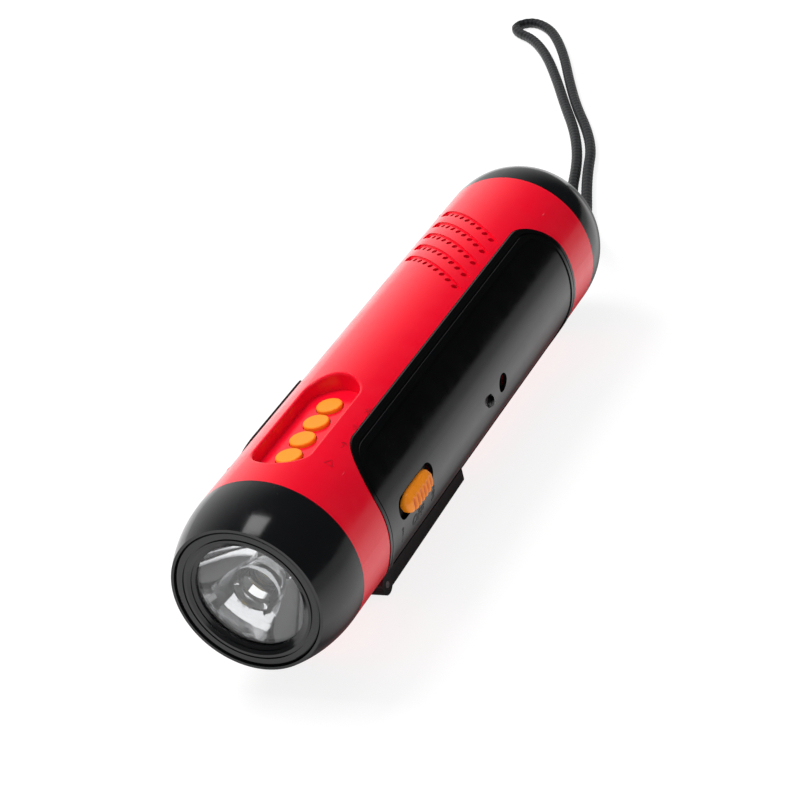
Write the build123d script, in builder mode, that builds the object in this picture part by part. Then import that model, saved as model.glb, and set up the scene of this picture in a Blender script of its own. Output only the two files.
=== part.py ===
"""Hand crank flashlight with radio: an assembly of separate pieces, in millimetres.

The tube's axis runs along Y at axis_height above the surface, with the lens towards -Y,
the buttons towards +Z and the switch panel towards +X.  The torch lies on the outer face
of its crank arm, which is folded along the belly.  The origin is under the middle of the torch.
"""

import os
from math import acos, cos, degrees, pi, radians, sin, sqrt, tan

from build123d import *

os.makedirs("parts", exist_ok=True)

# ---- driving dimensions -------------------------------------------------------------

# Tube, made of two shells, with a head at the front and a domed cap at the rear
body_radius = 25.0
body_length = 172.5
bezel_length = 17.75
cap_length = 25.0
arm_reach_below_tube = 5.0
shell_wall = 2.6
seat_gap = 0.1
spigot_length = 6.0
spigot_wall = 2.0

# Stations near the head, measured rearward from the body's front rim
panel_front_station = 16.75
button_station = 31.75
switch_station = 36.0
port_station = 46.0
hub_station = 79.0
lamp_station = 87.9
jack_station = 97.9

# Stations near the cap, measured forward from the body's rear rim
grille_station = 41.5
panel_rear_station = 16.0

# Button recess
recess_length = 45.75
recess_width = 17.0
recess_depth = 5.0
recess_draft = 8.0
recess_wall = 2.0
recess_lip = 0.7
button_count = 4
button_pitch = 8.55
button_diameter = 7.3
button_rise = 1.0
button_gap = 0.2
button_flange_rim = 0.45
button_flange_thickness = 0.8
button_travel = 0.5
button_edge_radius = 0.5

# Speaker grille
grille_slots = 5
grille_slot_pitch = 7.1
grille_slot_span_x = 23.0
grille_slot_rise_y = 17.6
grille_slot_width = 2.6
grille_groove_depth = 0.55
grille_holes = 9
grille_hole_diameter = 1.7
speaker_diameter = 36.0
speaker_height = 12.2
speaker_rim = 1.5

# Side panel
panel_edge_drop = 4.2
panel_corner_radius = 13.0
panel_recess_depth = 1.4
panel_proud = 0.2
panel_border = 3.0
panel_border_step = 0.3
panel_bead_inset = 1.3
panel_bead_width = 0.35
panel_bead_depth = 0.25

# Slide switch
slot_length = 22.4
slot_width = 7.0
slider_length = 16.0
slider_gap = 0.2
slider_rise = 2.5
slider_grooves = 6
slider_groove_reach = 1.2
slider_edge_radius = 1.1
slider_flange_overlap = 4.0
slider_flange_side = 1.3
slider_rib_pitch = 2.1
slider_rib_depth = 0.6
slider_travel = 3.0
slider_flange_thickness = 1.1
switch_body_length = 13.0
switch_body_width = 6.0
switch_body_height = 4.8
stem_width = 1.8
stem_length = 2.0

# Charging socket and lamp
jack_bore = 5.5
jack_drop = 2.92
jack_depth = 7.0
jack_body = 9.0
jack_nose_wall = 0.9
jack_pin = 1.65
jack_pin_setback = 1.0
jack_corner_radius = 0.8
lamp_diameter = 3.8
lamp_drop = 3.05
lamp_rise = 1.2

# Circuit boards
board_thickness = 1.2
side_board_depth = 11.0
side_board_half_height = 6.0
main_board_rise = 8.4
main_board_width = 32.0
main_board_speaker_gap = 9.1
main_post_setback = 14.0
main_post_pitch = 28.0
button_board_drop = 7.0
button_board_width = 15.0
tact_size = 6.0
tact_height = 2.8
tact_plunger = 3.5
side_boss_rear_gap = 28.0
side_boss_pitch = 18.0
side_boss_drop = 3.0
port_boss_gap = 4.5
port_board_depth = 13.0

# Port cover on the left side
port_cover_length = 40.0
port_cover_shift = 3.5
port_cover_half_angle = 38.0
port_cover_gap = 0.15
port_cover_thickness = 0.75
port_cover_corner = 6.0
socket_width = 13.0
socket_height = 5.8
socket_depth = 10.5
socket_wall = 0.5

# Belly flat and crank
belly_clearance = 0.5
belly_half_length = 55.0
belly_wall = 2.4
arm_thickness = 7.0
arm_rear = 11.0
arm_rear_half_width = 10.4
arm_front_half_width = 11.45
arm_corner_radius = 2.0
arm_edge_radius = 0.8
arm_floor = 3.0
knuckle_radius = 3.0
knuckle_half_width = 12.3
arm_slope_run = 8.0
arm_slot_corner = 2.0
knob_lift = 0.2
knob_foot_gap = 0.6
knob_end_gap = 2.0
knob_edge_radius = 0.8
pin_reach = 48.5
pin_diameter = 2.0
shaft_diameter = 7.0
shaft_seat_diameter = 5.0
shaft_tip_diameter = 3.0
knob_diameter = 6.4
knob_length = 22.0
knob_slot_gap = 1.0
spindle_diameter = 2.6
spindle_eye_radius = 2.8
running_gap = 0.06

# Gear train: the drive gear on the crank, two compound gears and the dynamo's pinion
gear_module = 0.7
drive_teeth = 40
pinion_teeth = 12
wheel_1_teeth = 36
wheel_2_teeth = 30
pressure_angle = 20.0
tooth_thinning = 0.16
addendum = 0.8
dedendum = 1.1
gear_axle_diameter = 2.5
rotor_axle_diameter = 1.6
plate_thickness = 2.0
plate_side_gap = 0.36
plate_rim = 0.5
post_gap = 0.4
cover_thickness = 1.6
level_gap = 0.6
drive_gear_lift = 4.1
drive_gear_width = 3.0
wheel_width = 2.5
post_radius = 2.5
post_x = 6.6

# Dynamo
magnet_radius = 8.5
magnet_height = 8.0
air_gap = 0.7
coil_thickness = 2.8
can_wall = 0.7
can_gap = 0.15

# Battery pack
cell_diameter = 10.5
cell_length = 44.5
cell_count = 3
cell_gap = 0.2
cell_nub_radius = 1.9
cell_nub_length = 0.8
cell_edge_radius = 0.6
battery_gearbox_gap = 1.4
battery_shell_gap = 1.27
tray_wall = 1.2

# Head; radii follow one another inward from the body's radius
ring_inset = 3.5
ring_wall = 0.8
ring_groove_inset = 2.5
ring_lens_overlap = 3.1
lens_margin = 2.2
lens_recess = 2.5
lens_thickness = 1.6
seal_thickness = 0.8
reflector_wall = 1.0
reflector_depth = 13.0
reflector_margin = 1.9
reflector_throat = 5.2
reflector_ring_gap = 1.9
skirt_wall = 1.0
led_board_gap = 0.4
led_board_thickness = 1.5
heatsink_thickness = 2.8
heatsink_gap = 0.2
heatsink_core_radius = 12.0
heatsink_core_length = 6.0
heatsink_lead_hole_radius = 3.0
heatsink_hole_count = 8
heatsink_hole_circle = 7.8
heatsink_hole_radius = 1.6
optic_radius = 6.6
optic_tail_radius = 4.2
optic_length = 10.5

# Fasteners
screw_radius = 1.25
screw_head_radius = 2.4
screw_head_height = 1.6
screw_gap = 0.05
crank_screw_lift = 0.2
crank_screw_seat = 1.2
crank_screw_grip = 6.0
boss_radius = 3.2
boss_inset = 8.3
boss_rear_y_inset = 11.6
boss_front_y_inset = 15.4
small_screw_radius = 0.9
small_screw_head = 1.7
small_screw_head_height = 1.1

# Wrist cord
cord_radius = 1.5
cord_spread = 1.7
cord_hole_gap = 0.3
anchor_depth = 3.5
anchor_length = 5.0
anchor_radius = 5.5

# ---- places worked out from the driving dimensions ----------------------------------

overall_length = bezel_length + body_length + cap_length
front_y = -overall_length / 2
body_front_y = front_y + bezel_length
body_rear_y = body_front_y + body_length
tip_y = body_rear_y + cap_length
inner_radius = body_radius - shell_wall
axis_height = body_radius + arm_reach_below_tube
far = 2 * body_radius

hub_y = body_front_y + hub_station
button_y = body_front_y + button_station
switch_y = body_front_y + switch_station
jack_y = body_front_y + jack_station
lamp_y = body_front_y + lamp_station
port_y = body_front_y + port_station
grille_y = body_rear_y - grille_station
pin_y = hub_y - pin_reach
belly_z = arm_thickness + belly_clearance
belly_inner_z = belly_z + belly_wall
drive_gear_z = belly_inner_z + drive_gear_lift
panel_half_height = body_radius - panel_edge_drop

# Boards
side_board_x = body_radius - side_board_depth
side_board_low = axis_height - side_board_half_height
side_board_high = axis_height + side_board_half_height
port_board_x = port_board_depth - body_radius
main_board_z = axis_height + main_board_rise
main_board_rear_y = grille_y - speaker_diameter / 2 - main_board_speaker_gap
main_board_front_y = button_y

# Radii of the head, inward from the body's
ring_radius = body_radius - ring_inset
lens_ring_radius = ring_radius - ring_wall
lens_ring_groove = lens_ring_radius - ring_groove_inset
lens_radius = lens_ring_radius - ring_lens_overlap
lens_opening = lens_radius - lens_margin
reflector_mouth = lens_radius - reflector_margin
reflector_skirt_radius = lens_ring_radius - reflector_ring_gap
led_board_radius = reflector_skirt_radius - skirt_wall - led_board_gap
heatsink_radius = inner_radius - seat_gap - spigot_wall - heatsink_gap

# Rear end of the gearbox, and the battery pack behind it
drive_tip_radius = gear_module * (drive_teeth / 2 + addendum)
post_rear_y = hub_y + drive_tip_radius + post_gap + post_radius
plate_rear_y = post_rear_y + post_radius + plate_rim
battery_front_y = plate_rear_y + battery_gearbox_gap
cell_pitch = cell_diameter + cell_gap
cell_xs = [(i - (cell_count - 1) / 2) * cell_pitch for i in range(cell_count)]


def across(y):
    """Plane across the tube at y, facing forward: local x is X, local y is height above the axis."""
    return Plane(origin=(0, y, axis_height), x_dir=(1, 0, 0), z_dir=(0, -1, 0))


def level(z):
    """Horizontal plane at height z."""
    return Plane.XY.offset(z)


def facing_right(x):
    """Upright plane at x, facing +X: local x is Y, local y is height above the axis."""
    return Plane(origin=(x, 0, axis_height), x_dir=(0, 1, 0), z_dir=(1, 0, 0))


def height_at(x, radius):
    """Height above the axis of a circle of this radius at x."""
    return sqrt(radius**2 - x**2)


# The outer cells stay battery_shell_gap inside the shell; the gearbox plate fits above the belly wall
battery_z = axis_height - height_at(max(cell_xs), inner_radius - cell_diameter / 2 - battery_shell_gap)
plate_half_width = height_at(axis_height - belly_inner_z, inner_radius) - plate_side_gap


def write(part, name):
    """Label a finished piece and write its STEP file."""
    part.label = name
    export_step(part, f"parts/{name}.step")


def plain_cylinder(radius, z_low, z_high, x=0.0, y=0.0):
    """Upright cylinder between two heights, outside any builder."""
    return Pos(x, y, z_low) * Cylinder(
        radius, z_high - z_low, align=(Align.CENTER, Align.CENTER, Align.MIN), mode=Mode.PRIVATE
    )


def plain_box(x_low, x_high, y_low, y_high, z_low, z_high):
    """Box between two corners, outside any builder."""
    return Pos((x_low + x_high) / 2, (y_low + y_high) / 2, (z_low + z_high) / 2) * Box(
        x_high - x_low, y_high - y_low, z_high - z_low, mode=Mode.PRIVATE
    )


def tube_cylinder(radius, y_low=body_front_y, y_high=body_rear_y):
    """Solid cylinder along the torch's axis, outside any builder."""
    turned = Rot(90, 0, 0) * Cylinder(radius, y_high - y_low, mode=Mode.PRIVATE)
    return Pos(0, (y_low + y_high) / 2, axis_height) * turned


# ---- shared cutters -----------------------------------------------------------------

panel_recess_radius = body_radius - panel_recess_depth
panel_front_y = body_front_y + panel_front_station
panel_rear_y = body_rear_y - panel_rear_station
panel_length = panel_rear_y - panel_front_y
panel_mid_y = (panel_rear_y + panel_front_y) / 2


def panel_block(inset):
    """Block with the panel's outline, inset evenly, from the axis out to the right."""
    with BuildPart() as block:
        with BuildSketch(facing_right(0)):
            with Locations((panel_mid_y, 0)):
                RectangleRounded(
                    panel_length - 2 * inset,
                    2 * (panel_half_height - inset),
                    panel_corner_radius - inset,
                )
        extrude(amount=far)
    return block.part


with BuildPart() as panel_pocket:
    add(panel_block(0))
    add(tube_cylinder(panel_recess_radius), mode=Mode.SUBTRACT)

# Windows behind the panel: the switch, and the socket with the lamp
flange_half_length = slider_length / 2 + slider_flange_overlap
window_gap = 0.5
switch_window_half_length = flange_half_length + slider_travel + window_gap
switch_window_half_height = slot_width / 2 + slider_flange_side + window_gap
jack_z = axis_height - jack_drop
lamp_z = axis_height - lamp_drop
jack_window_half = jack_body / 2 + window_gap
switch_window = plain_box(
    side_board_x,
    far,
    switch_y - switch_window_half_length,
    switch_y + switch_window_half_length,
    axis_height - switch_window_half_height,
    axis_height + switch_window_half_height,
)
jack_window = plain_box(
    side_board_x,
    far,
    lamp_y - lamp_diameter,
    jack_y + jack_window_half,
    jack_z - jack_window_half,
    jack_z + jack_window_half,
)
port_window = plain_box(
    -far,
    port_board_x,
    port_y - socket_width / 2 - seat_gap,
    port_y + socket_width / 2 + seat_gap,
    axis_height - socket_height / 2 - seat_gap,
    axis_height + socket_height / 2 + seat_gap,
)

boss_rear_y = body_rear_y - boss_rear_y_inset
boss_front_y = body_front_y + boss_front_y_inset
boss_x = inner_radius - boss_inset
boss_places = [(side * boss_x, y) for side in (-1, 1) for y in (boss_rear_y, boss_front_y)]
screw_seat_z = axis_height - height_at(boss_x + boss_radius - 1.5, inner_radius)

# Distances behind the torch's front, down the stack of the head
lens_rear = lens_recess + lens_thickness
reflector_front = lens_rear + seal_thickness
led_board_front = reflector_front + reflector_depth + reflector_wall + 1.0
heatsink_front = led_board_front + led_board_thickness
heatsink_rear = heatsink_front + heatsink_thickness
rib_thickness = 2.0
rib_depth = 4.0


def half_shell(upper):
    """Half of the tube, with the ring rib that stops the head's heat sink."""
    side = 1 if upper else -1
    with BuildPart() as shell:
        with BuildSketch(across(body_rear_y)):
            Circle(body_radius)
            Circle(inner_radius, mode=Mode.SUBTRACT)
        extrude(amount=body_length)
        with BuildSketch(across(front_y + heatsink_rear + rib_thickness)):
            Circle(inner_radius + 0.5 * shell_wall)
            Circle(inner_radius - rib_depth, mode=Mode.SUBTRACT)
        extrude(amount=rib_thickness)
        with BuildSketch(across(body_rear_y)):
            with Locations((0, side * far / 2)):
                Rectangle(far + 1, far)
        extrude(amount=body_length, mode=Mode.INTERSECT)
    return shell.part


# ---- upper housing ------------------------------------------------------------------

recess_floor_z = axis_height + body_radius - recess_depth
recess_under_z = recess_floor_z - recess_wall
draft_spread = recess_depth * tan(radians(recess_draft))
floor_width = recess_width - 2 * draft_spread
floor_length = recess_length - 2 * draft_spread
button_ys = [button_y + (i - (button_count - 1) / 2) * button_pitch for i in range(button_count)]
button_hole_radius = button_diameter / 2 + button_gap
button_board_top_z = recess_under_z - button_board_drop + board_thickness + 0.4
button_board_half_length = floor_length / 2 - 1.0
button_post_y = button_board_half_length - 2.0
board_post_radius = 2.0
main_post_x = main_board_width / 2 - 2 * board_post_radius
main_post_rear_y = main_board_rear_y - main_post_setback
main_post_ys = (main_post_rear_y, main_post_rear_y - main_post_pitch)
main_board_top_z = main_board_z + board_thickness
speaker_top_z = axis_height + height_at(speaker_diameter / 2 + 0.2, inner_radius) - 0.4
speaker_ring_wall = 1.2
speaker_ledge = 1.0

with BuildPart() as recess_tub:
    with BuildSketch(level(recess_under_z)):
        with Locations((0, button_y)):
            SlotOverall(recess_length + 2 * recess_wall, recess_width + 2 * recess_wall, rotation=90)
    extrude(amount=recess_depth + recess_wall)
    add(tube_cylinder(body_radius), mode=Mode.INTERSECT)

with BuildPart() as speaker_well:
    with BuildSketch(level(speaker_top_z - speaker_rim)):
        with Locations((0, grille_y)):
            Circle(speaker_diameter / 2 + seat_gap + speaker_ring_wall)
            Circle(speaker_diameter / 2 + seat_gap, mode=Mode.SUBTRACT)
    extrude(amount=far / 2)
    with BuildSketch(level(speaker_top_z)):
        with Locations((0, grille_y)):
            Circle(speaker_diameter / 2 + seat_gap + 0.2)
            Circle(speaker_diameter / 2 - speaker_ledge, mode=Mode.SUBTRACT)
    extrude(amount=far / 2)
    add(tube_cylinder(inner_radius + 0.5 * shell_wall), mode=Mode.INTERSECT)

slot_angle = degrees(acos(grille_slot_span_x / sqrt(grille_slot_span_x**2 + grille_slot_rise_y**2)))
slot_run = sqrt(grille_slot_span_x**2 + grille_slot_rise_y**2)
slot_ys = [
    grille_y + (i - (grille_slots - 1) / 2) * grille_slot_pitch for i in range(grille_slots)
]
hole_step = (slot_run - grille_slot_width) / (grille_holes - 1)

with BuildPart() as grille_grooves:
    with BuildSketch(level(axis_height)):
        for slot_y in slot_ys:
            with Locations((0, slot_y)):
                SlotOverall(slot_run + grille_slot_width, grille_slot_width, rotation=-slot_angle)
    extrude(amount=far / 2)
    add(tube_cylinder(body_radius - grille_groove_depth), mode=Mode.SUBTRACT)

with BuildPart() as upper_housing:
    add(half_shell(upper=True))
    add(recess_tub.part)
    add(speaker_well.part)
    # bosses for the housing screws, cut back to the inside of the shell
    with BuildSketch(level(axis_height)):
        with Locations(*boss_places):
            Circle(boss_radius)
    extrude(amount=height_at(boss_x, inner_radius) + 0.8)
    # posts for the main board and for the button board
    with BuildSketch(level(main_board_top_z)):
        with Locations(*[(side * main_post_x, y) for side in (-1, 1) for y in main_post_ys]):
            Circle(board_post_radius)
    extrude(amount=axis_height + height_at(main_post_x, inner_radius) + 0.8 - main_board_top_z)
    with BuildSketch(level(button_board_top_z)):
        with Locations((0, button_y - button_post_y), (0, button_y + button_post_y)):
            Circle(board_post_radius)
    extrude(amount=recess_under_z - button_board_top_z + 0.5 * recess_wall)
    # the drafted button recess and its rounded lip
    with BuildSketch(level(recess_floor_z)):
        with Locations((0, button_y)):
            SlotOverall(floor_length, floor_width, rotation=90)
    extrude(amount=1.6 * recess_depth, taper=-recess_draft, mode=Mode.SUBTRACT)
    recess_rim = upper_housing.edges(Select.LAST).filter_by(
        lambda edge: edge.center().Z > recess_floor_z + 0.3 * recess_depth
    )
    fillet(recess_rim, radius=recess_lip)
    with BuildSketch(level(recess_under_z)):
        with Locations(*[(0, y) for y in button_ys]):
            Circle(button_hole_radius)
    extrude(amount=recess_wall, mode=Mode.SUBTRACT)
    # speaker grille
    add(grille_grooves.part, mode=Mode.SUBTRACT)
    with BuildSketch(level(axis_height + height_at(grille_slot_span_x / 2, inner_radius) - 1)):
        for slot_y in slot_ys:
            with Locations(Location((0, slot_y, 0), (0, 0, -slot_angle))):
                with GridLocations(hole_step, 1, grille_holes, 1):
                    Circle(grille_hole_diameter / 2)
    extrude(amount=body_radius, mode=Mode.SUBTRACT)
    # seat of the side panel and the windows behind it and behind the port cover
    add(panel_pocket.part, mode=Mode.SUBTRACT)
    add(switch_window, mode=Mode.SUBTRACT)
    add(jack_window, mode=Mode.SUBTRACT)
    add(port_window, mode=Mode.SUBTRACT)
    # screw holes
    with BuildSketch(level(axis_height)):
        with Locations(*boss_places):
            Circle(screw_radius + screw_gap)
    extrude(amount=11.0, mode=Mode.SUBTRACT)
    with BuildSketch(level(main_board_top_z)):
        with Locations(*[(side * main_post_x, y) for side in (-1, 1) for y in main_post_ys]):
            Circle(small_screw_radius + screw_gap)
    extrude(amount=5.0, mode=Mode.SUBTRACT)
    with BuildSketch(level(button_board_top_z)):
        with Locations((0, button_y - button_post_y), (0, button_y + button_post_y)):
            Circle(small_screw_radius + screw_gap)
    extrude(amount=3.5, mode=Mode.SUBTRACT)
write(upper_housing.part, "upper_housing")

# ---- lower housing ------------------------------------------------------------------

belly_front_y = hub_y - belly_half_length
belly_rear_y = hub_y + belly_half_length
side_boss_ys = (jack_y - side_boss_rear_gap, jack_y - side_boss_rear_gap - side_boss_pitch)
side_boss_z = axis_height - side_boss_drop
port_boss_y = port_y + socket_width / 2 + port_boss_gap
side_board_face = side_board_x + board_thickness

with BuildPart() as belly_wall_block:
    add(
        plain_box(-far, far, belly_front_y - 2, belly_rear_y + 2, belly_z, belly_inner_z),
    )
    add(tube_cylinder(body_radius - 0.5 * shell_wall), mode=Mode.INTERSECT)

with BuildPart() as lower_housing:
    add(half_shell(upper=False))
    add(belly_wall_block.part)
    add(
        plain_box(-far, far, belly_front_y, belly_rear_y, -1.0, belly_z),
        mode=Mode.SUBTRACT,
    )
    with BuildSketch(level(screw_seat_z - 2.0)):
        with Locations(*boss_places):
            Circle(boss_radius)
    extrude(amount=axis_height - screw_seat_z + 2.0)
    with BuildSketch(level(-1.0)):
        with Locations(*boss_places):
            Circle(screw_head_radius + 3 * seat_gap)
    extrude(amount=screw_seat_z + 1.0, mode=Mode.SUBTRACT)
    with BuildSketch(level(screw_seat_z)):
        with Locations(*boss_places):
            Circle(screw_radius + screw_gap)
    extrude(amount=axis_height - screw_seat_z, mode=Mode.SUBTRACT)
    # bosses for the side board and the port board
    with BuildSketch(facing_right(side_board_face)):
        with Locations(*[(y, side_boss_z - axis_height) for y in side_boss_ys]):
            Circle(board_post_radius)
    extrude(amount=height_at(side_boss_z - axis_height, inner_radius) + 0.6 - side_board_face)
    with BuildSketch(facing_right(port_board_x)):
        with Locations((port_boss_y, side_boss_z - axis_height)):
            Circle(board_post_radius)
    extrude(amount=-(height_at(side_boss_z - axis_height, inner_radius) + 0.6 + port_board_x))
    with BuildSketch(facing_right(side_board_face)):
        with Locations(*[(y, side_boss_z - axis_height) for y in side_boss_ys]):
            Circle(small_screw_radius + screw_gap)
    extrude(amount=5.0, mode=Mode.SUBTRACT)
    with BuildSketch(facing_right(port_board_x)):
        with Locations((port_boss_y, side_boss_z - axis_height)):
            Circle(small_screw_radius + screw_gap)
    extrude(amount=-5.0, mode=Mode.SUBTRACT)
    add(panel_pocket.part, mode=Mode.SUBTRACT)
    add(switch_window, mode=Mode.SUBTRACT)
    add(jack_window, mode=Mode.SUBTRACT)
    add(port_window, mode=Mode.SUBTRACT)
    # bearing hole for the crank shaft
    with BuildSketch(level(belly_z - 1)):
        with Locations((0, hub_y)):
            Circle(shaft_diameter / 2 + running_gap)
    extrude(amount=belly_wall + 2, mode=Mode.SUBTRACT)
write(lower_housing.part, "lower_housing")

# ---- side panel ---------------------------------------------------------------------

panel_outer_radius = body_radius + panel_proud
panel_inner_radius = panel_recess_radius + seat_gap
field_radius = panel_outer_radius - panel_border_step


def panel_band(inset, outset, depth):
    """Band of the panel's outer skin between two insets from its edge, to be cut away."""
    with BuildPart() as band:
        add(panel_block(inset))
        if outset:
            add(panel_block(outset), mode=Mode.SUBTRACT)
        add(tube_cylinder(panel_outer_radius - depth), mode=Mode.SUBTRACT)
    return band.part


with BuildPart() as side_panel:
    add(panel_block(seat_gap))
    add(tube_cylinder(panel_outer_radius), mode=Mode.INTERSECT)
    add(tube_cylinder(panel_inner_radius), mode=Mode.SUBTRACT)
    add(panel_band(panel_border, 0, panel_border_step), mode=Mode.SUBTRACT)
    add(
        panel_band(panel_bead_inset, panel_bead_inset + panel_bead_width, panel_bead_depth),
        mode=Mode.SUBTRACT,
    )
    with BuildSketch(facing_right(side_board_x)):
        with Locations((switch_y, 0)):
            SlotOverall(slot_length, slot_width)
        with Locations((jack_y, -jack_drop)):
            Circle(jack_bore / 2 + 0.05)
        with Locations((lamp_y, -lamp_drop)):
            Circle(lamp_diameter / 2 + 0.1)
    extrude(amount=far, mode=Mode.SUBTRACT)
write(side_panel.part, "side_panel")

# ---- switch, side board, socket and lamp ---------------------------------------------

slider_width = slot_width - 2 * slider_gap
flange_half_height = slot_width / 2 + slider_flange_side
flange_outer_x = height_at(flange_half_height, panel_inner_radius) - 0.25
flange_inner_x = flange_outer_x - slider_flange_thickness
slider_top_x = panel_outer_radius + slider_rise
slider_pocket_depth = 1.6

with BuildPart() as switch_slider:
    with BuildSketch(facing_right(flange_inner_x)):
        with Locations((switch_y, 0)):
            Rectangle(2 * flange_half_length, 2 * flange_half_height)
    extrude(amount=slider_flange_thickness)
    with BuildSketch(facing_right(flange_inner_x)):
        with Locations((switch_y, 0)):
            RectangleRounded(slider_length, slider_width, slider_width / 2 - 0.3)
    extrude(amount=slider_top_x - flange_inner_x)
    fillet(switch_slider.faces().sort_by(Axis.X)[-1].edges(), radius=slider_edge_radius)
    # finger ribs: grooves from the crown over the lower edge
    with BuildSketch(Plane(origin=(slider_top_x, switch_y, 0), x_dir=(0, 1, 0), z_dir=(0, 0, 1))):
        with GridLocations(slider_rib_pitch, 1, slider_grooves, 1):
            Circle(slider_rib_depth)
    extrude(amount=axis_height + slider_groove_reach, mode=Mode.SUBTRACT)
    with BuildSketch(facing_right(flange_inner_x)):
        with Locations((switch_y, 0)):
            Rectangle(stem_length + 0.1, stem_width + 0.1)
    extrude(amount=slider_pocket_depth, mode=Mode.SUBTRACT)
write(switch_slider.part, "switch_slider")

switch_top_x = side_board_face + switch_body_height
stem_foot_x = switch_top_x - 2.5

with BuildPart() as slide_switch:
    with BuildSketch(facing_right(side_board_face)):
        with Locations((switch_y, 0)):
            Rectangle(switch_body_length, switch_body_width)
    extrude(amount=switch_body_height)
    with BuildSketch(facing_right(stem_foot_x - 0.4)):
        with Locations((switch_y, 0)):
            Rectangle(stem_length + 2 * slider_travel + 0.8, stem_width + 0.6)
    extrude(amount=far, mode=Mode.SUBTRACT)
write(slide_switch.part, "slide_switch")

with BuildPart() as switch_stem:
    with BuildSketch(facing_right(stem_foot_x)):
        with Locations((switch_y, 0)):
            Rectangle(stem_length, stem_width)
    extrude(amount=flange_inner_x + slider_pocket_depth - 0.1 - stem_foot_x)
write(switch_stem.part, "switch_stem")

side_board_rear_y = jack_y + jack_body / 2 + 1.5
side_board_front_y = switch_y - switch_body_length / 2 - 5.0
lead_radius = 0.25
lead_spread = 0.8

with BuildPart() as side_board:
    add(
        plain_box(
            side_board_x,
            side_board_face,
            side_board_front_y,
            side_board_rear_y,
            side_board_low,
            side_board_high,
        )
    )
    with BuildSketch(facing_right(side_board_x)):
        with Locations(*[(y, side_boss_z - axis_height) for y in side_boss_ys]):
            Circle(small_screw_radius + screw_gap)
    extrude(amount=board_thickness, mode=Mode.SUBTRACT)
write(side_board.part, "side_board")

jack_low = jack_drop + jack_bore / 2 + jack_nose_wall
jack_front_x = height_at(jack_low, panel_inner_radius) - 0.2
jack_body_x = height_at(jack_drop + jack_body / 2, panel_inner_radius) - 0.8

with BuildPart() as dc_jack:
    with BuildSketch(facing_right(side_board_face)):
        with Locations((jack_y, -jack_drop)):
            RectangleRounded(jack_body, jack_body, jack_corner_radius)
    extrude(amount=jack_body_x - side_board_face)
    with BuildSketch(facing_right(side_board_face)):
        with Locations((jack_y, -jack_drop)):
            Circle(jack_bore / 2 + jack_nose_wall)
    extrude(amount=jack_front_x - side_board_face)
    with BuildSketch(facing_right(jack_front_x - jack_depth + jack_pin_setback)):
        with Locations((jack_y, -jack_drop)):
            Circle(jack_bore / 2)
            Circle(jack_pin / 2, mode=Mode.SUBTRACT)
    extrude(amount=jack_depth, mode=Mode.SUBTRACT)
    with BuildSketch(facing_right(jack_front_x - jack_pin_setback)):
        with Locations((jack_y, -jack_drop)):
            Circle(jack_bore / 2)
    extrude(amount=2 * jack_pin_setback, mode=Mode.SUBTRACT)
write(dc_jack.part, "dc_jack")

lamp_top_x = height_at(lamp_drop, panel_outer_radius) + lamp_rise
lamp_foot_x = side_board_face + 2.5

with BuildPart() as charge_lamp:
    with BuildSketch(facing_right(lamp_foot_x)):
        with Locations((lamp_y, -lamp_drop)):
            Circle(lamp_diameter / 2)
    extrude(amount=lamp_top_x - lamp_foot_x)
    fillet(charge_lamp.faces().sort_by(Axis.X)[-1].edges(), radius=0.48 * lamp_diameter)
    with BuildSketch(facing_right(side_board_face)):
        with Locations((lamp_y - lead_spread, -lamp_drop), (lamp_y + lead_spread, -lamp_drop)):
            Circle(lead_radius)
    extrude(amount=lamp_foot_x - side_board_face + 0.5)
write(charge_lamp.part, "charge_lamp")

# ---- port cover, output socket and its board ------------------------------------------

cover_inner_radius = body_radius + port_cover_gap
cover_outer_radius = cover_inner_radius + port_cover_thickness
hinge_angle = radians(port_cover_half_angle)
port_hinge_x = -cover_outer_radius * cos(hinge_angle)
port_hinge_z = axis_height - cover_outer_radius * sin(hinge_angle)

with BuildPart() as port_cover:
    with BuildSketch(across(port_y + port_cover_shift + port_cover_length / 2)):
        Circle(cover_outer_radius)
        Circle(cover_inner_radius, mode=Mode.SUBTRACT)
        with BuildLine():
            Polyline(
                (0, 0),
                (-far, far * tan(hinge_angle)),
                (-far, -far * tan(hinge_angle)),
                close=True,
            )
        make_face(mode=Mode.INTERSECT)
    extrude(amount=port_cover_length)
    straight_edges = port_cover.edges().filter_by(GeomType.LINE)
    radial_edges = straight_edges.filter_by(lambda edge: edge.length < 2 * port_cover_thickness)
    fillet(radial_edges, radius=port_cover_corner)
    # plug that grips in the socket
    with BuildSketch(facing_right(-cover_inner_radius - 0.3)):
        with Locations((port_y, 0)):
            RectangleRounded(socket_width - 4 * socket_wall, socket_height - 4 * socket_wall, 0.6)
    extrude(amount=cover_inner_radius - inner_radius + 1.6)
write(port_cover.part, "port_cover")

socket_mouth_x = -height_at(socket_height / 2 + seat_gap, body_radius) + 0.9

with BuildPart() as output_socket:
    with BuildSketch(facing_right(socket_mouth_x)):
        with Locations((port_y, 0)):
            RectangleRounded(socket_width, socket_height, 0.8)
            RectangleRounded(
                socket_width - 2 * socket_wall, socket_height - 2 * socket_wall, 0.5, mode=Mode.SUBTRACT
            )
    extrude(amount=socket_depth)
    with BuildSketch(facing_right(socket_mouth_x + socket_depth)):
        with Locations((port_y, 0)):
            RectangleRounded(socket_width, socket_height, 0.8)
    extrude(amount=port_board_x - socket_mouth_x - socket_depth)
    # contact tongue inside the shell of the socket
    add(
        plain_box(
            socket_mouth_x + 3.6,
            socket_mouth_x + socket_depth,
            port_y - socket_width / 2 + 1.6,
            port_y + socket_width / 2 - 1.6,
            axis_height + 0.1,
            axis_height + 1.6,
        )
    )
write(output_socket.part, "output_socket")

port_board_rear_y = port_boss_y + 3.5
port_board_front_y = port_y - socket_width / 2 + 0.5

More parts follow.
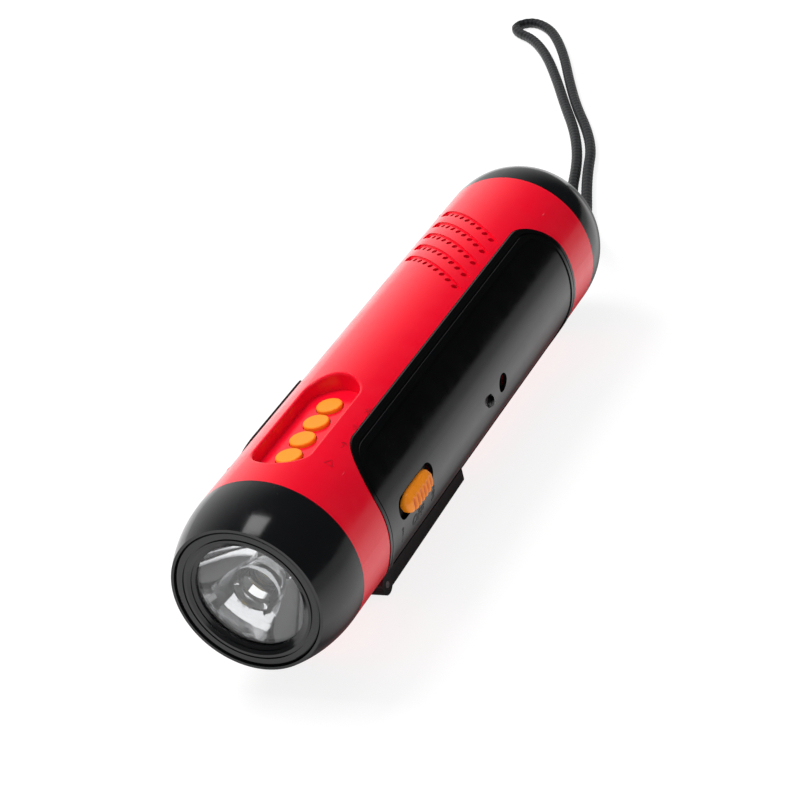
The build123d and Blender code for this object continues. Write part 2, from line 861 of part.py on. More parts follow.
with BuildPart() as port_board:
    add(
        plain_box(
            port_board_x,
            port_board_x + board_thickness,
            port_board_front_y,
            port_board_rear_y,
            side_board_low,
            side_board_high,
        )
    )
    with BuildSketch(facing_right(port_board_x)):
        with Locations((port_boss_y, side_boss_z - axis_height)):
            Circle(small_screw_radius + screw_gap)
    extrude(amount=board_thickness, mode=Mode.SUBTRACT)
write(port_board.part, "port_board")

# ---- buttons and their board -----------------------------------------------------------

flange_top_z = recess_under_z - seat_gap
flange_low_z = flange_top_z - button_flange_thickness

for number, y in enumerate(button_ys, start=1):
    with BuildPart() as button:
        with BuildSketch(level(flange_low_z)):
            with Locations((0, y)):
                Circle(button_diameter / 2 + button_flange_rim)
        extrude(amount=button_flange_thickness)
        with BuildSketch(level(flange_low_z)):
            with Locations((0, y)):
                Circle(button_diameter / 2)
        extrude(amount=recess_floor_z + button_rise - flange_low_z)
        fillet(button.edges().group_by(Axis.Z)[-1], radius=button_edge_radius)
    write(button.part, f"button_{number}")

plunger_top_z = flange_low_z - button_travel - 0.1
with BuildPart() as tact_switches:
    with BuildSketch(level(button_board_top_z)):
        with Locations(*[(0, y) for y in button_ys]):
            RectangleRounded(tact_size, tact_size, 0.4)
    extrude(amount=tact_height)
    with BuildSketch(level(button_board_top_z)):
        with Locations(*[(0, y) for y in button_ys]):
            Circle(tact_plunger / 2)
    extrude(amount=plunger_top_z - button_board_top_z)
write(tact_switches.part, "tact_switches")

with BuildPart() as button_board:
    add(
        plain_box(
            -button_board_width / 2,
            button_board_width / 2,
            button_y - button_board_half_length,
            button_y + button_board_half_length,
            button_board_top_z - board_thickness,
            button_board_top_z,
        )
    )
    with BuildSketch(level(button_board_top_z)):
        with Locations((0, button_y - button_post_y), (0, button_y + button_post_y)):
            Circle(small_screw_radius + screw_gap)
    extrude(amount=-board_thickness, mode=Mode.SUBTRACT)
write(button_board.part, "button_board")

# ---- main board -------------------------------------------------------------------------

main_board_mid_y = (main_board_rear_y + main_board_front_y) / 2
main_board_length = main_board_rear_y - main_board_front_y

with BuildPart() as main_board:
    with BuildSketch(level(main_board_z)):
        with Locations((0, main_board_mid_y)):
            RectangleRounded(main_board_width, main_board_length, 2.0)
        with Locations(*[(side * main_post_x, y) for side in (-1, 1) for y in main_post_ys]):
            Circle(small_screw_radius + screw_gap, mode=Mode.SUBTRACT)
    extrude(amount=board_thickness)
write(main_board.part, "main_board")

chip_side = 9.0
chip_height = 1.6
capacitor_radius = 2.5
capacitor_height = 3.0
with BuildPart() as board_components:
    with BuildSketch(level(main_board_top_z)):
        with Locations((0, main_post_ys[1] / 2)):
            Rectangle(chip_side, chip_side)
    extrude(amount=chip_height)
    with BuildSketch(level(main_board_top_z)):
        with Locations((0, main_post_ys[0])):
            Circle(capacitor_radius)
    extrude(amount=capacitor_height)
write(board_components.part, "board_components")

# ---- speaker -----------------------------------------------------------------------------

speaker_radius = speaker_diameter / 2
magnet_plate_radius = 9.0
basket_wall = 0.8
basket_low_z = speaker_top_z - speaker_height + 5.0

with BuildPart() as speaker_frame:
    with BuildSketch(Plane.XZ) as frame_profile:
        with BuildLine():
            Polyline(
                (speaker_radius, speaker_top_z),
                (speaker_radius, speaker_top_z - speaker_rim),
                (magnet_plate_radius + 1.0, basket_low_z - basket_wall),
                (4.0, basket_low_z - basket_wall),
                (4.0, basket_low_z),
                (magnet_plate_radius + 1.0, basket_low_z),
                (speaker_radius - 2.0, speaker_top_z - speaker_rim + 0.3),
                (speaker_radius - 2.0, speaker_top_z),
                close=True,
            )
        make_face()
    revolve(axis=Axis.Z)
speaker_frame_piece = Pos(0, grille_y, 0) * speaker_frame.part
write(speaker_frame_piece, "speaker_frame")

cone_gap = 0.2
with BuildPart() as speaker_cone:
    with BuildSketch(Plane.XZ):
        with BuildLine():
            Polyline(
                (speaker_radius - 2.0 - cone_gap, speaker_top_z - 0.2),
                (speaker_radius - 2.0 - cone_gap, speaker_top_z - 0.8),
                (6.0, basket_low_z + 1.6),
                (0, basket_low_z + 1.9),
                (0, basket_low_z + 2.5),
                (6.0, basket_low_z + 2.2),
                close=True,
            )
        make_face()
    revolve(axis=Axis.Z)
speaker_cone_piece = Pos(0, grille_y, 0) * speaker_cone.part
write(speaker_cone_piece, "speaker_cone")

with BuildPart() as speaker_magnet:
    with BuildSketch(level(basket_low_z - basket_wall)):
        with Locations((0, grille_y)):
            Circle(magnet_plate_radius)
    extrude(amount=-(speaker_height - (speaker_top_z - basket_low_z) - basket_wall))
write(speaker_magnet.part, "speaker_magnet")

# ---- battery pack and its tray --------------------------------------------------------------

cell_mid_y = battery_front_y + tray_wall + cell_gap + cell_length / 2

for number, x in enumerate(cell_xs, start=1):
    with BuildPart() as battery_cell:
        with BuildSketch(across(cell_mid_y + cell_length / 2)):
            with Locations((x, battery_z - axis_height)):
                Circle(cell_diameter / 2)
        extrude(amount=cell_length - cell_nub_length)
        fillet(battery_cell.edges(), radius=cell_edge_radius)
        with BuildSketch(across(cell_mid_y)):
            with Locations((x, battery_z - axis_height)):
                Circle(cell_nub_radius)
        extrude(amount=cell_length / 2)
    write(battery_cell.part, f"battery_cell_{number}")

tray_length = cell_length + 2 * (tray_wall + cell_gap)
tray_half_width = max(cell_xs) + 3.5
with BuildPart() as battery_tray:
    add(
        plain_box(
            -tray_half_width,
            tray_half_width,
            battery_front_y,
            battery_front_y + tray_length,
            belly_inner_z,
            battery_z,
        )
    )
    add(tube_cylinder(inner_radius - 0.2), mode=Mode.INTERSECT)
    with BuildSketch(across(battery_front_y + tray_length - tray_wall)):
        with Locations(*[(x, battery_z - axis_height) for x in cell_xs]):
            Circle(cell_diameter / 2 + seat_gap)
    extrude(amount=tray_length - 2 * tray_wall, mode=Mode.SUBTRACT)
    with BuildSketch(across(battery_front_y + tray_length - tray_wall)):
        with Locations((0, battery_z - axis_height)):
            Rectangle(2 * max(cell_xs), cell_diameter / 2)
    extrude(amount=tray_length - 2 * tray_wall, mode=Mode.SUBTRACT)
write(battery_tray.part, "battery_tray")

# ---- gear train -----------------------------------------------------------------------------


def involute(angle):
    """Involute function of a pressure angle in radians."""
    return tan(angle) - angle


def gear_points(teeth, tooth_angle):
    """Outline of a spur gear whose one tooth points at tooth_angle, in degrees.

    Each flank follows the involute of the base circle at three radii, with a radial root.
    """
    pitch = gear_module * teeth / 2
    base = pitch * cos(radians(pressure_angle))
    tip = pitch + addendum * gear_module
    root = pitch - dedendum * gear_module
    half_pitch_angle = pi / (2 * teeth) - tooth_thinning / (2 * pitch)
    flank = []
    start = max(base, root)
    for radius in (start, (start + pitch) / 2, pitch, (pitch + tip) / 2, tip):
        pressure = acos(min(1.0, base / radius))
        offset = half_pitch_angle + involute(radians(pressure_angle)) - involute(pressure)
        flank.append((radius, offset))
    if root < base:
        flank.insert(0, (root, flank[0][1]))
    points = []
    for tooth in range(teeth):
        middle = radians(tooth_angle) + 2 * pi * tooth / teeth
        for radius, offset in flank:
            points.append((radius * cos(middle - offset), radius * sin(middle - offset)))
        for radius, offset in reversed(flank):
            points.append((radius * cos(middle + offset), radius * sin(middle + offset)))
    return points


def centre_distance(teeth_a, teeth_b):
    """Distance between the centres of two gears in mesh."""
    return gear_module * (teeth_a + teeth_b) / 2


gear_1_y = hub_y - centre_distance(drive_teeth, pinion_teeth)
gear_2_y = gear_1_y - centre_distance(wheel_1_teeth, pinion_teeth)
rotor_y = gear_2_y - centre_distance(wheel_2_teeth, pinion_teeth)

wheel_1_z = drive_gear_z + drive_gear_width + level_gap + 0.3
wheel_2_z = wheel_1_z + wheel_width + level_gap + 0.3
cover_z = wheel_2_z + wheel_width + 1.0
cover_top_z = cover_z + cover_thickness
plate_top_z = belly_inner_z + plate_thickness
mesh_overlap = 0.2
half_tooth = 180 / pinion_teeth
towards_next = -90.0
towards_last = 90.0
post_front_y = rotor_y - 7.0
post_places = [(side * post_x, y) for side in (-1, 1) for y in (post_rear_y, post_front_y)]
plate_front_y = post_front_y - post_radius - plate_rim


def gear_part(layers, bore_radius):
    """Gear made of layers of (teeth, tooth angle, low z, high z), bored through."""
    low = min(layer[2] for layer in layers)
    high = max(layer[3] for layer in layers)
    with BuildPart() as gear:
        for teeth, tooth_angle, z_low, z_high in layers:
            with BuildSketch(level(z_low)):
                with BuildLine():
                    Polyline(*gear_points(teeth, tooth_angle), close=True)
                make_face()
            extrude(amount=z_high - z_low)
        with BuildSketch(level(low)):
            Circle(bore_radius)
        extrude(amount=high - low, mode=Mode.SUBTRACT)
    return gear.part


drive_gear = Pos(0, hub_y, 0) * gear_part(
    [(drive_teeth, towards_next, drive_gear_z, drive_gear_z + drive_gear_width)],
    shaft_seat_diameter / 2 + 0.02,
)
write(drive_gear, "drive_gear")

compound_gear_1 = Pos(0, gear_1_y, 0) * gear_part(
    [
        (pinion_teeth, towards_last + half_tooth, drive_gear_z - mesh_overlap, wheel_1_z),
        (wheel_1_teeth, towards_next, wheel_1_z, wheel_1_z + wheel_width),
    ],
    gear_axle_diameter / 2 + running_gap,
)
write(compound_gear_1, "compound_gear_1")

compound_gear_2 = Pos(0, gear_2_y, 0) * gear_part(
    [
        (pinion_teeth, towards_last + half_tooth, wheel_1_z - mesh_overlap, wheel_2_z),
        (wheel_2_teeth, towards_next, wheel_2_z, wheel_2_z + wheel_width),
    ],
    gear_axle_diameter / 2 + running_gap,
)
write(compound_gear_2, "compound_gear_2")

magnet_z = cover_top_z + 0.6
rotor_pinion = Pos(0, rotor_y, 0) * gear_part(
    [(pinion_teeth, towards_last + half_tooth, wheel_2_z - mesh_overlap, magnet_z)],
    rotor_axle_diameter / 2 + running_gap,
)
write(rotor_pinion, "rotor_pinion")

with BuildPart() as rotor_magnet:
    with BuildSketch(level(magnet_z)):
        with Locations((0, rotor_y)):
            Circle(magnet_radius)
            Circle(rotor_axle_diameter / 2 + running_gap, mode=Mode.SUBTRACT)
    extrude(amount=magnet_height)
write(rotor_magnet.part, "rotor_magnet")

magnet_top_z = magnet_z + magnet_height
pinion_tip_radius = gear_module * (pinion_teeth / 2 + addendum)
can_outer_radius = magnet_radius + air_gap + coil_thickness + can_gap + can_wall
can_roof_z = magnet_top_z + 0.8

with BuildPart() as stator_coil:
    with BuildSketch(level(cover_top_z)):
        with Locations((0, rotor_y)):
            Circle(magnet_radius + air_gap + coil_thickness)
            Circle(magnet_radius + air_gap, mode=Mode.SUBTRACT)
    extrude(amount=magnet_top_z - cover_top_z)
write(stator_coil.part, "stator_coil")

with BuildPart() as stator_can:
    with BuildSketch(level(cover_top_z)):
        with Locations((0, rotor_y)):
            Circle(can_outer_radius)
            Circle(can_outer_radius - can_wall, mode=Mode.SUBTRACT)
    extrude(amount=can_roof_z - cover_top_z)
    with BuildSketch(level(can_roof_z)):
        with Locations((0, rotor_y)):
            Circle(can_outer_radius)
            Circle(rotor_axle_diameter / 2 + 0.02, mode=Mode.SUBTRACT)
    extrude(amount=can_wall)
write(stator_can.part, "stator_can")

axle_foot_z = plate_top_z - 1.0
boss_tops = {
    gear_1_y: drive_gear_z - mesh_overlap - 0.2,
    gear_2_y: wheel_1_z - mesh_overlap - 0.2,
    rotor_y: wheel_2_z - mesh_overlap - 0.2,
}
axle_radii = {
    gear_1_y: gear_axle_diameter / 2,
    gear_2_y: gear_axle_diameter / 2,
    rotor_y: rotor_axle_diameter / 2,
}

with BuildPart() as gearbox_frame:
    with BuildSketch(level(belly_inner_z)):
        with Locations((0, (plate_rear_y + plate_front_y) / 2)):
            RectangleRounded(2 * plate_half_width, plate_rear_y - plate_front_y, 2.0)
    extrude(amount=plate_thickness)
    with BuildSketch(level(plate_top_z)):
        with Locations(*post_places):
            Circle(post_radius)
    extrude(amount=cover_z - plate_top_z)
    for axle_y, boss_top in boss_tops.items():
        with BuildSketch(level(plate_top_z)):
            with Locations((0, axle_y)):
                Circle(2.4)
        extrude(amount=boss_top - plate_top_z)
    for axle_y, axle_radius in axle_radii.items():
        with BuildSketch(level(axle_foot_z)):
            with Locations((0, axle_y)):
                Circle(axle_radius + 0.02)
        extrude(amount=cover_z - axle_foot_z, mode=Mode.SUBTRACT)
    with BuildSketch(level(belly_inner_z)):
        with Locations((0, hub_y)):
            Circle(shaft_diameter / 2 + running_gap)
    extrude(amount=plate_thickness, mode=Mode.SUBTRACT)
    with BuildSketch(level(cover_z)):
        with Locations(*post_places):
            Circle(small_screw_radius + screw_gap)
    extrude(amount=-6.0, mode=Mode.SUBTRACT)
write(gearbox_frame.part, "gearbox_frame")

with BuildPart() as gearbox_cover:
    with BuildSketch(level(cover_z)):
        with Locations((0, (plate_rear_y + plate_front_y) / 2)):
            RectangleRounded(2 * plate_half_width, plate_rear_y - plate_front_y, 2.0)
        with Locations((0, rotor_y)):
            Circle(can_outer_radius)
        with Locations((0, rotor_y)):
            Circle(pinion_tip_radius + 0.5, mode=Mode.SUBTRACT)
        with Locations((0, gear_1_y), (0, gear_2_y)):
            Circle(gear_axle_diameter / 2 + 0.02, mode=Mode.SUBTRACT)
        with Locations((0, hub_y)):
            Circle(shaft_tip_diameter / 2 + running_gap, mode=Mode.SUBTRACT)
        with Locations(*post_places):
            Circle(small_screw_radius + screw_gap, mode=Mode.SUBTRACT)
    extrude(amount=cover_thickness)
write(gearbox_cover.part, "gearbox_cover")

for number, axle_y in enumerate((gear_1_y, gear_2_y), start=1):
    with BuildPart() as gear_axle:
        with BuildSketch(level(axle_foot_z)):
            with Locations((0, axle_y)):
                Circle(gear_axle_diameter / 2)
        extrude(amount=cover_top_z - axle_foot_z)
    write(gear_axle.part, f"gear_axle_{number}")

with BuildPart() as rotor_axle:
    with BuildSketch(level(axle_foot_z)):
        with Locations((0, rotor_y)):
            Circle(rotor_axle_diameter / 2)
    extrude(amount=can_roof_z + can_wall - axle_foot_z)
write(rotor_axle.part, "rotor_axle")

# ---- crank --------------------------------------------------------------------------------------

arm_rear_y = hub_y + arm_rear
knob_z = knob_lift + knob_diameter / 2
pin_z = knuckle_radius
slot_half_width = knob_diameter / 2 + knob_slot_gap
knob_foot_y = pin_y + spindle_eye_radius + knob_foot_gap
knob_head_y = knob_foot_y + knob_length
knob_slot_end_y = knob_head_y + knob_end_gap
spindle_head_radius = 2.3
spindle_head_length = 1.2

with BuildPart() as crank_arm:
    with BuildSketch(level(0)):
        with BuildLine():
            Polyline(
                (-arm_rear_half_width, arm_rear_y),
                (arm_rear_half_width, arm_rear_y),
                (arm_front_half_width, pin_y),
                (-arm_front_half_width, pin_y),
                close=True,
            )
        make_face()
    extrude(amount=arm_thickness)
    fillet(crank_arm.edges().filter_by(Axis.Z).group_by(Axis.Y)[-1], radius=arm_corner_radius)
    # the front end slopes down to the knuckles
    with BuildSketch(facing_right(-far)):
        with BuildLine():
            Polyline(
                (pin_y + arm_slope_run, arm_thickness - axis_height),
                (pin_y, 2 * knuckle_radius - axis_height),
                (pin_y - 1.0, 2 * knuckle_radius - axis_height),
                (pin_y - 1.0, arm_thickness + 1 - axis_height),
                (pin_y + arm_slope_run, arm_thickness + 1 - axis_height),
                close=True,
            )
        make_face()
    extrude(amount=2 * far, mode=Mode.SUBTRACT)
    with BuildSketch(facing_right(-knuckle_half_width)):
        with Locations((pin_y, pin_z - axis_height)):
            Circle(knuckle_radius)
    extrude(amount=2 * knuckle_half_width)
    # slot in which the knob lies folded
    with BuildSketch(level(-1)):
        with Locations((0, (knob_slot_end_y + pin_y - 2 * knuckle_radius) / 2)):
            RectangleRounded(
                2 * slot_half_width, knob_slot_end_y - pin_y + 2 * knuckle_radius, arm_slot_corner
            )
    extrude(amount=arm_thickness + 2, mode=Mode.SUBTRACT)
    with BuildSketch(facing_right(-far)):
        with Locations((pin_y, pin_z - axis_height)):
            Circle(pin_diameter / 2 + 0.02)
    extrude(amount=2 * far, mode=Mode.SUBTRACT)
    # seat of the shaft, and the screw that holds it
    with BuildSketch(level(arm_floor)):
        with Locations((0, hub_y)):
            Circle(shaft_diameter / 2 + 0.02)
    extrude(amount=arm_thickness, mode=Mode.SUBTRACT)
    with BuildSketch(level(0)):
        with Locations((0, hub_y)):
            Circle(screw_head_radius + 2 * seat_gap)
    extrude(amount=arm_floor - crank_screw_seat, mode=Mode.SUBTRACT)
    with BuildSketch(level(0)):
        with Locations((0, hub_y)):
            Circle(screw_radius + screw_gap)
    extrude(amount=arm_floor, mode=Mode.SUBTRACT)
write(crank_arm.part, "crank_arm")

with BuildPart() as crank_shaft:
    with BuildSketch(level(arm_floor)):
        with Locations((0, hub_y)):
            Circle(shaft_diameter / 2)
    extrude(amount=drive_gear_z - arm_floor)
    with BuildSketch(level(drive_gear_z)):
        with Locations((0, hub_y)):
            Circle(shaft_seat_diameter / 2)
    extrude(amount=drive_gear_width + 0.2)
    with BuildSketch(level(drive_gear_z + drive_gear_width)):
        with Locations((0, hub_y)):
            Circle(shaft_tip_diameter / 2)
    extrude(amount=cover_top_z - drive_gear_z - drive_gear_width)
    with BuildSketch(level(arm_floor)):
        with Locations((0, hub_y)):
            Circle(screw_radius + screw_gap)
    extrude(amount=crank_screw_grip + 1.0, mode=Mode.SUBTRACT)
write(crank_shaft.part, "crank_shaft")

with BuildPart() as crank_screw:
    with BuildSketch(level(crank_screw_lift)):
        with Locations((0, hub_y)):
            Circle(screw_head_radius)
    extrude(amount=arm_floor - crank_screw_seat - crank_screw_lift)
    with BuildSketch(level(crank_screw_lift)):
        with Locations((0, hub_y)):
            Circle(screw_radius)
    extrude(amount=arm_floor + crank_screw_grip)
    with BuildSketch(level(crank_screw_lift)):
        with Locations((0, hub_y)):
            Rectangle(1.2 * screw_head_radius, 0.3 * screw_head_radius)
            Rectangle(0.3 * screw_head_radius, 1.2 * screw_head_radius)
    extrude(amount=0.5 * screw_head_height, mode=Mode.SUBTRACT)
write(crank_screw.part, "crank_screw")

with BuildPart() as knob_pin:
    with BuildSketch(facing_right(-knuckle_half_width)):
        with Locations((pin_y, pin_z - axis_height)):
            Circle(pin_diameter / 2)
    extrude(amount=2 * knuckle_half_width)
write(knob_pin.part, "knob_pin")

eye_half_width = slot_half_width - 0.2
with BuildPart() as knob_spindle:
    with BuildSketch(facing_right(-eye_half_width)):
        with Locations((pin_y, pin_z - axis_height)):
            Circle(spindle_eye_radius)
    extrude(amount=2 * eye_half_width)
    with BuildSketch(Plane(origin=(0, pin_y, knob_z), x_dir=(1, 0, 0), z_dir=(0, 1, 0))):
        Circle(spindle_diameter / 2)
    extrude(amount=knob_head_y - spindle_head_length - pin_y)
    with BuildSketch(
        Plane(
            origin=(0, knob_head_y - spindle_head_length - 0.3, knob_z),
            x_dir=(1, 0, 0),
            z_dir=(0, 1, 0),
        )
    ):
        Circle(spindle_head_radius)
    extrude(amount=spindle_head_length)
    with BuildSketch(facing_right(-eye_half_width)):
        with Locations((pin_y, pin_z - axis_height)):
            Circle(pin_diameter / 2 + running_gap)
    extrude(amount=2 * eye_half_width, mode=Mode.SUBTRACT)
write(knob_spindle.part, "knob_spindle")

with BuildPart() as knob:
    with BuildSketch(Plane(origin=(0, knob_foot_y, knob_z), x_dir=(1, 0, 0), z_dir=(0, 1, 0))):
        Circle(knob_diameter / 2)
    extrude(amount=knob_length)
    fillet(knob.edges(), radius=knob_edge_radius)
    with BuildSketch(Plane(origin=(0, knob_foot_y, knob_z), x_dir=(1, 0, 0), z_dir=(0, 1, 0))):
        Circle(spindle_diameter / 2 + running_gap)
    extrude(amount=knob_length, mode=Mode.SUBTRACT)
    with BuildSketch(
        Plane(
            origin=(0, knob_head_y - spindle_head_length - 0.5, knob_z),
            x_dir=(1, 0, 0),
            z_dir=(0, 1, 0),
        )
    ):
        Circle(spindle_head_radius + 0.15)
    extrude(amount=spindle_head_length + 1, mode=Mode.SUBTRACT)
write(knob.part, "knob")

# ---- head: bezel, ring, lens, reflector and lamp ----------------------------------------------------

# The head's pieces turn about the torch's axis.  Profiles are drawn in the plane x = 0 as
# (distance behind the torch's front, radius).


def head_plane():
    """Plane of the head's profiles: local x runs rearward from the front, local y is the radius."""
    return Plane(origin=(0, front_y, axis_height), x_dir=(0, 1, 0), z_dir=(1, 0, 0))


torch_axis = Axis((0, 0, axis_height), (0, 1, 0))
spigot_radius = inner_radius - seat_gap
bezel_rear = bezel_length + spigot_length
ring_seat_depth = 3.2
bezel_bore = reflector_skirt_radius + 0.2
bezel_curve = ((body_radius - ring_radius) ** 2 + bezel_length**2) / (2 * (body_radius - ring_radius))
curve_mid = bezel_length / 2
curve_mid_radius = body_radius - bezel_curve + sqrt(bezel_curve**2 - curve_mid**2)

with BuildPart() as head_bezel:
    with BuildSketch(head_plane()):
        with BuildLine():
            ThreePointArc(
                (0, ring_radius), (bezel_length - curve_mid, curve_mid_radius), (bezel_length, body_radius)
            )
            Polyline(
                (bezel_length, body_radius),
                (bezel_length, spigot_radius),
                (bezel_rear, spigot_radius),
                (bezel_rear, spigot_radius - spigot_wall),
                (heatsink_front - 1.0, spigot_radius - spigot_wall),
                (heatsink_front - 1.0, bezel_bore),
                (ring_seat_depth, bezel_bore),
                (ring_seat_depth, lens_ring_radius),
                (0, lens_ring_radius),
                (0, ring_radius),
            )
        make_face()
    revolve(axis=torch_axis)
write(head_bezel.part, "head_bezel")

ring_face = 0.4
ring_lip_radius = 0.8
groove_width = 0.5
groove_depth = 0.4
ring_step_width = 0.9
ring_step_depth = 0.5
with BuildPart() as lens_ring:
    with BuildSketch(head_plane()) as ring_profile:
        with BuildLine():
            Polyline(
                (ring_face, lens_ring_radius - seat_gap),
                (ring_face, lens_ring_groove + groove_width / 2),
                (ring_face + groove_depth, lens_ring_groove + groove_width / 2),
                (ring_face + groove_depth, lens_ring_groove - groove_width / 2),
                (ring_face, lens_ring_groove - groove_width / 2),
                (ring_face, lens_opening + 2 * ring_step_width),
                (ring_face + ring_step_depth, lens_opening + ring_step_width),
                (ring_face + 2 * ring_step_depth, lens_opening + ring_step_width),
                (ring_face + 3 * ring_step_depth, lens_opening),
                (lens_recess, lens_opening),
                (lens_recess, lens_radius + seat_gap),
                (ring_seat_depth, lens_radius + seat_gap),
                (ring_seat_depth, lens_ring_radius - seat_gap),
                close=True,
            )
        make_face()
        lip_corner = ring_profile.vertices().group_by(Axis.X)[0].sort_by(Axis.Y)[-1]
        fillet(lip_corner, radius=ring_lip_radius)
    revolve(axis=torch_axis)
write(lens_ring.part, "lens_ring")

with BuildPart() as front_lens:
    with BuildSketch(head_plane()):
        with BuildLine():
            Polyline(
                (lens_recess, 0),
                (lens_recess, lens_radius),
                (lens_rear, lens_radius),
                (lens_rear, 0),
                close=True,
            )
        make_face()
    revolve(axis=torch_axis)
write(front_lens.part, "front_lens")

with BuildPart() as lens_seal:
    with BuildSketch(head_plane()):
        with BuildLine():
            Polyline(
                (lens_rear, reflector_mouth + 0.5),
                (lens_rear, reflector_skirt_radius),
                (reflector_front, reflector_skirt_radius),
                (reflector_front, reflector_mouth + 0.5),
                close=True,
            )
        make_face()
    revolve(axis=torch_axis)
write(lens_seal.part, "lens_seal")

bowl_depth_ratio = reflector_depth / (reflector_mouth**2 - reflector_throat**2)
bowl_offset = 0.4 * reflector_wall


def bowl_depth(radius):
    """Distance behind the mouth of the parabolic bowl at this radius."""
    return reflector_front + bowl_depth_ratio * (reflector_mouth**2 - radius**2)


bowl_steps = 4
bowl_radii = [
    reflector_mouth + (reflector_throat - reflector_mouth) * i / bowl_steps for i in range(bowl_steps + 1)
]
outer_bowl = [(bowl_depth(radius) + reflector_wall, radius + bowl_offset) for radius in bowl_radii[:-1]]
outer_bowl.append((bowl_depth(reflector_throat) + reflector_wall, reflector_throat))
with BuildPart() as reflector:
    with BuildSketch(head_plane()):
        with BuildLine():
            Spline(*[(bowl_depth(radius), radius) for radius in bowl_radii])
            Line(
                (bowl_depth(reflector_throat), reflector_throat),
                (bowl_depth(reflector_throat) + reflector_wall, reflector_throat),
            )
            Spline(*reversed(outer_bowl))
            Polyline(
                (reflector_front + reflector_wall, reflector_mouth + bowl_offset),
                (reflector_front + reflector_wall, reflector_skirt_radius - skirt_wall),
                (heatsink_front, reflector_skirt_radius - skirt_wall),
                (heatsink_front, reflector_skirt_radius),
                (reflector_front, reflector_skirt_radius),
                (reflector_front, reflector_mouth),
            )
        make_face()
    revolve(axis=torch_axis)
write(reflector.part, "reflector")

with BuildPart() as led_board:
    with BuildSketch(across(front_y + heatsink_front)):
        Circle(led_board_radius)
    extrude(amount=led_board_thickness)
write(led_board.part, "led_board")

chip_half = 1.75
chip_base = 0.8
dome_radius = 1.5
dome_foot = led_board_front - chip_base
with BuildPart() as main_led:
    with BuildSketch(across(front_y + led_board_front)):
        Rectangle(2 * chip_half, 2 * chip_half)
    extrude(amount=chip_base)
    with BuildSketch(head_plane()):
        with BuildLine():
            Line((dome_foot, 0), (dome_foot, dome_radius))
            RadiusArc((dome_foot, dome_radius), (dome_foot - dome_radius, 0), -dome_radius)
            Line((dome_foot - dome_radius, 0), (dome_foot, 0))
        make_face()
    revolve(axis=torch_axis)
write(main_led.part, "main_led")

core_plane = across(front_y + heatsink_front + heatsink_core_length)
with BuildPart() as heatsink:
    with BuildSketch(across(front_y + heatsink_rear)):
        Circle(heatsink_radius)
    extrude(amount=heatsink_thickness)
    with BuildSketch(core_plane):
        Circle(heatsink_core_radius)
    extrude(amount=heatsink_core_length)
    with BuildSketch(core_plane):
        Circle(heatsink_lead_hole_radius)
    extrude(amount=heatsink_core_length, mode=Mode.SUBTRACT)
    # blind cooling holes from the rear, stopping at the plate
    with BuildSketch(core_plane):
        with PolarLocations(heatsink_hole_circle, heatsink_hole_count):
            Circle(heatsink_hole_radius)
    extrude(amount=heatsink_core_length - heatsink_thickness, mode=Mode.SUBTRACT)
write(heatsink.part, "heatsink")

optic_front = reflector_front + 0.8
optic_rear = optic_front + optic_length
led_tip = dome_foot - dome_radius
with BuildPart() as centre_optic:
    with BuildSketch(head_plane()):
        with BuildLine():
            Polyline(
                (optic_front, 0),
                (optic_front, optic_radius),
                (optic_front + 1.4, optic_radius),
                (optic_rear, optic_tail_radius),
                (led_board_front, optic_tail_radius),
                (led_board_front, optic_tail_radius - 0.9),
                (led_tip - 1.0, optic_tail_radius - 1.6),
                (led_tip - 1.0, 0),
                close=True,
            )
        make_face()
    revolve(axis=torch_axis)
write(centre_optic.part, "centre_optic")

# ---- end cap, cord anchor and cord ------------------------------------------------------------------

cap_wall = 2.2
cap_mid = 0.5 * cap_length
cap_mid_radius = 0.909 * body_radius
cap_shoulder = 0.85 * cap_length
cap_shoulder_radius = 0.652 * body_radius
cord_hole_radius = cord_radius + cord_hole_gap
anchor_face_y = tip_y - anchor_depth


def cap_plane():
    """Plane of the end cap's profiles: local x runs rearward from the body's rim."""
    return Plane(origin=(0, body_rear_y, axis_height), x_dir=(0, 1, 0), z_dir=(1, 0, 0))


with BuildPart() as end_cap:
    with BuildSketch(cap_plane()):
        with BuildLine():
            Spline(
                (0, body_radius),
                (cap_mid, cap_mid_radius),
                (cap_shoulder, cap_shoulder_radius),
                (cap_length, 0),
                tangents=((1, 0), (0, -1)),
            )
            Polyline((cap_length, 0), (cap_length - anchor_depth - anchor_length, 0))
            Polyline(
                (cap_length - anchor_depth - anchor_length, 0),
                (cap_length - anchor_depth - anchor_length, anchor_radius + 2.0),
                (cap_shoulder - 1.2 * cap_wall, cap_shoulder_radius - cap_wall),
                (cap_mid - 0.4 * cap_wall, cap_mid_radius - cap_wall),
                (0.2 * cap_mid, spigot_radius - spigot_wall),
                (-spigot_length, spigot_radius - spigot_wall),
                (-spigot_length, spigot_radius),
                (0, spigot_radius),
                (0, body_radius),
            )
        make_face()
    revolve(axis=torch_axis)
    with BuildSketch(across(tip_y + 1)):
        with Locations((-cord_spread, 0), (cord_spread, 0)):
            Circle(cord_hole_radius)
    extrude(amount=anchor_depth + 1.5, mode=Mode.SUBTRACT)
    with BuildSketch(across(anchor_face_y)):
        Circle(anchor_radius + seat_gap)
    extrude(amount=anchor_length + 1, mode=Mode.SUBTRACT)
write(end_cap.part, "end_cap")

with BuildPart() as cord_anchor:
    with BuildSketch(across(anchor_face_y)):
        Circle(anchor_radius)
    extrude(amount=anchor_length)
write(cord_anchor.part, "cord_anchor")

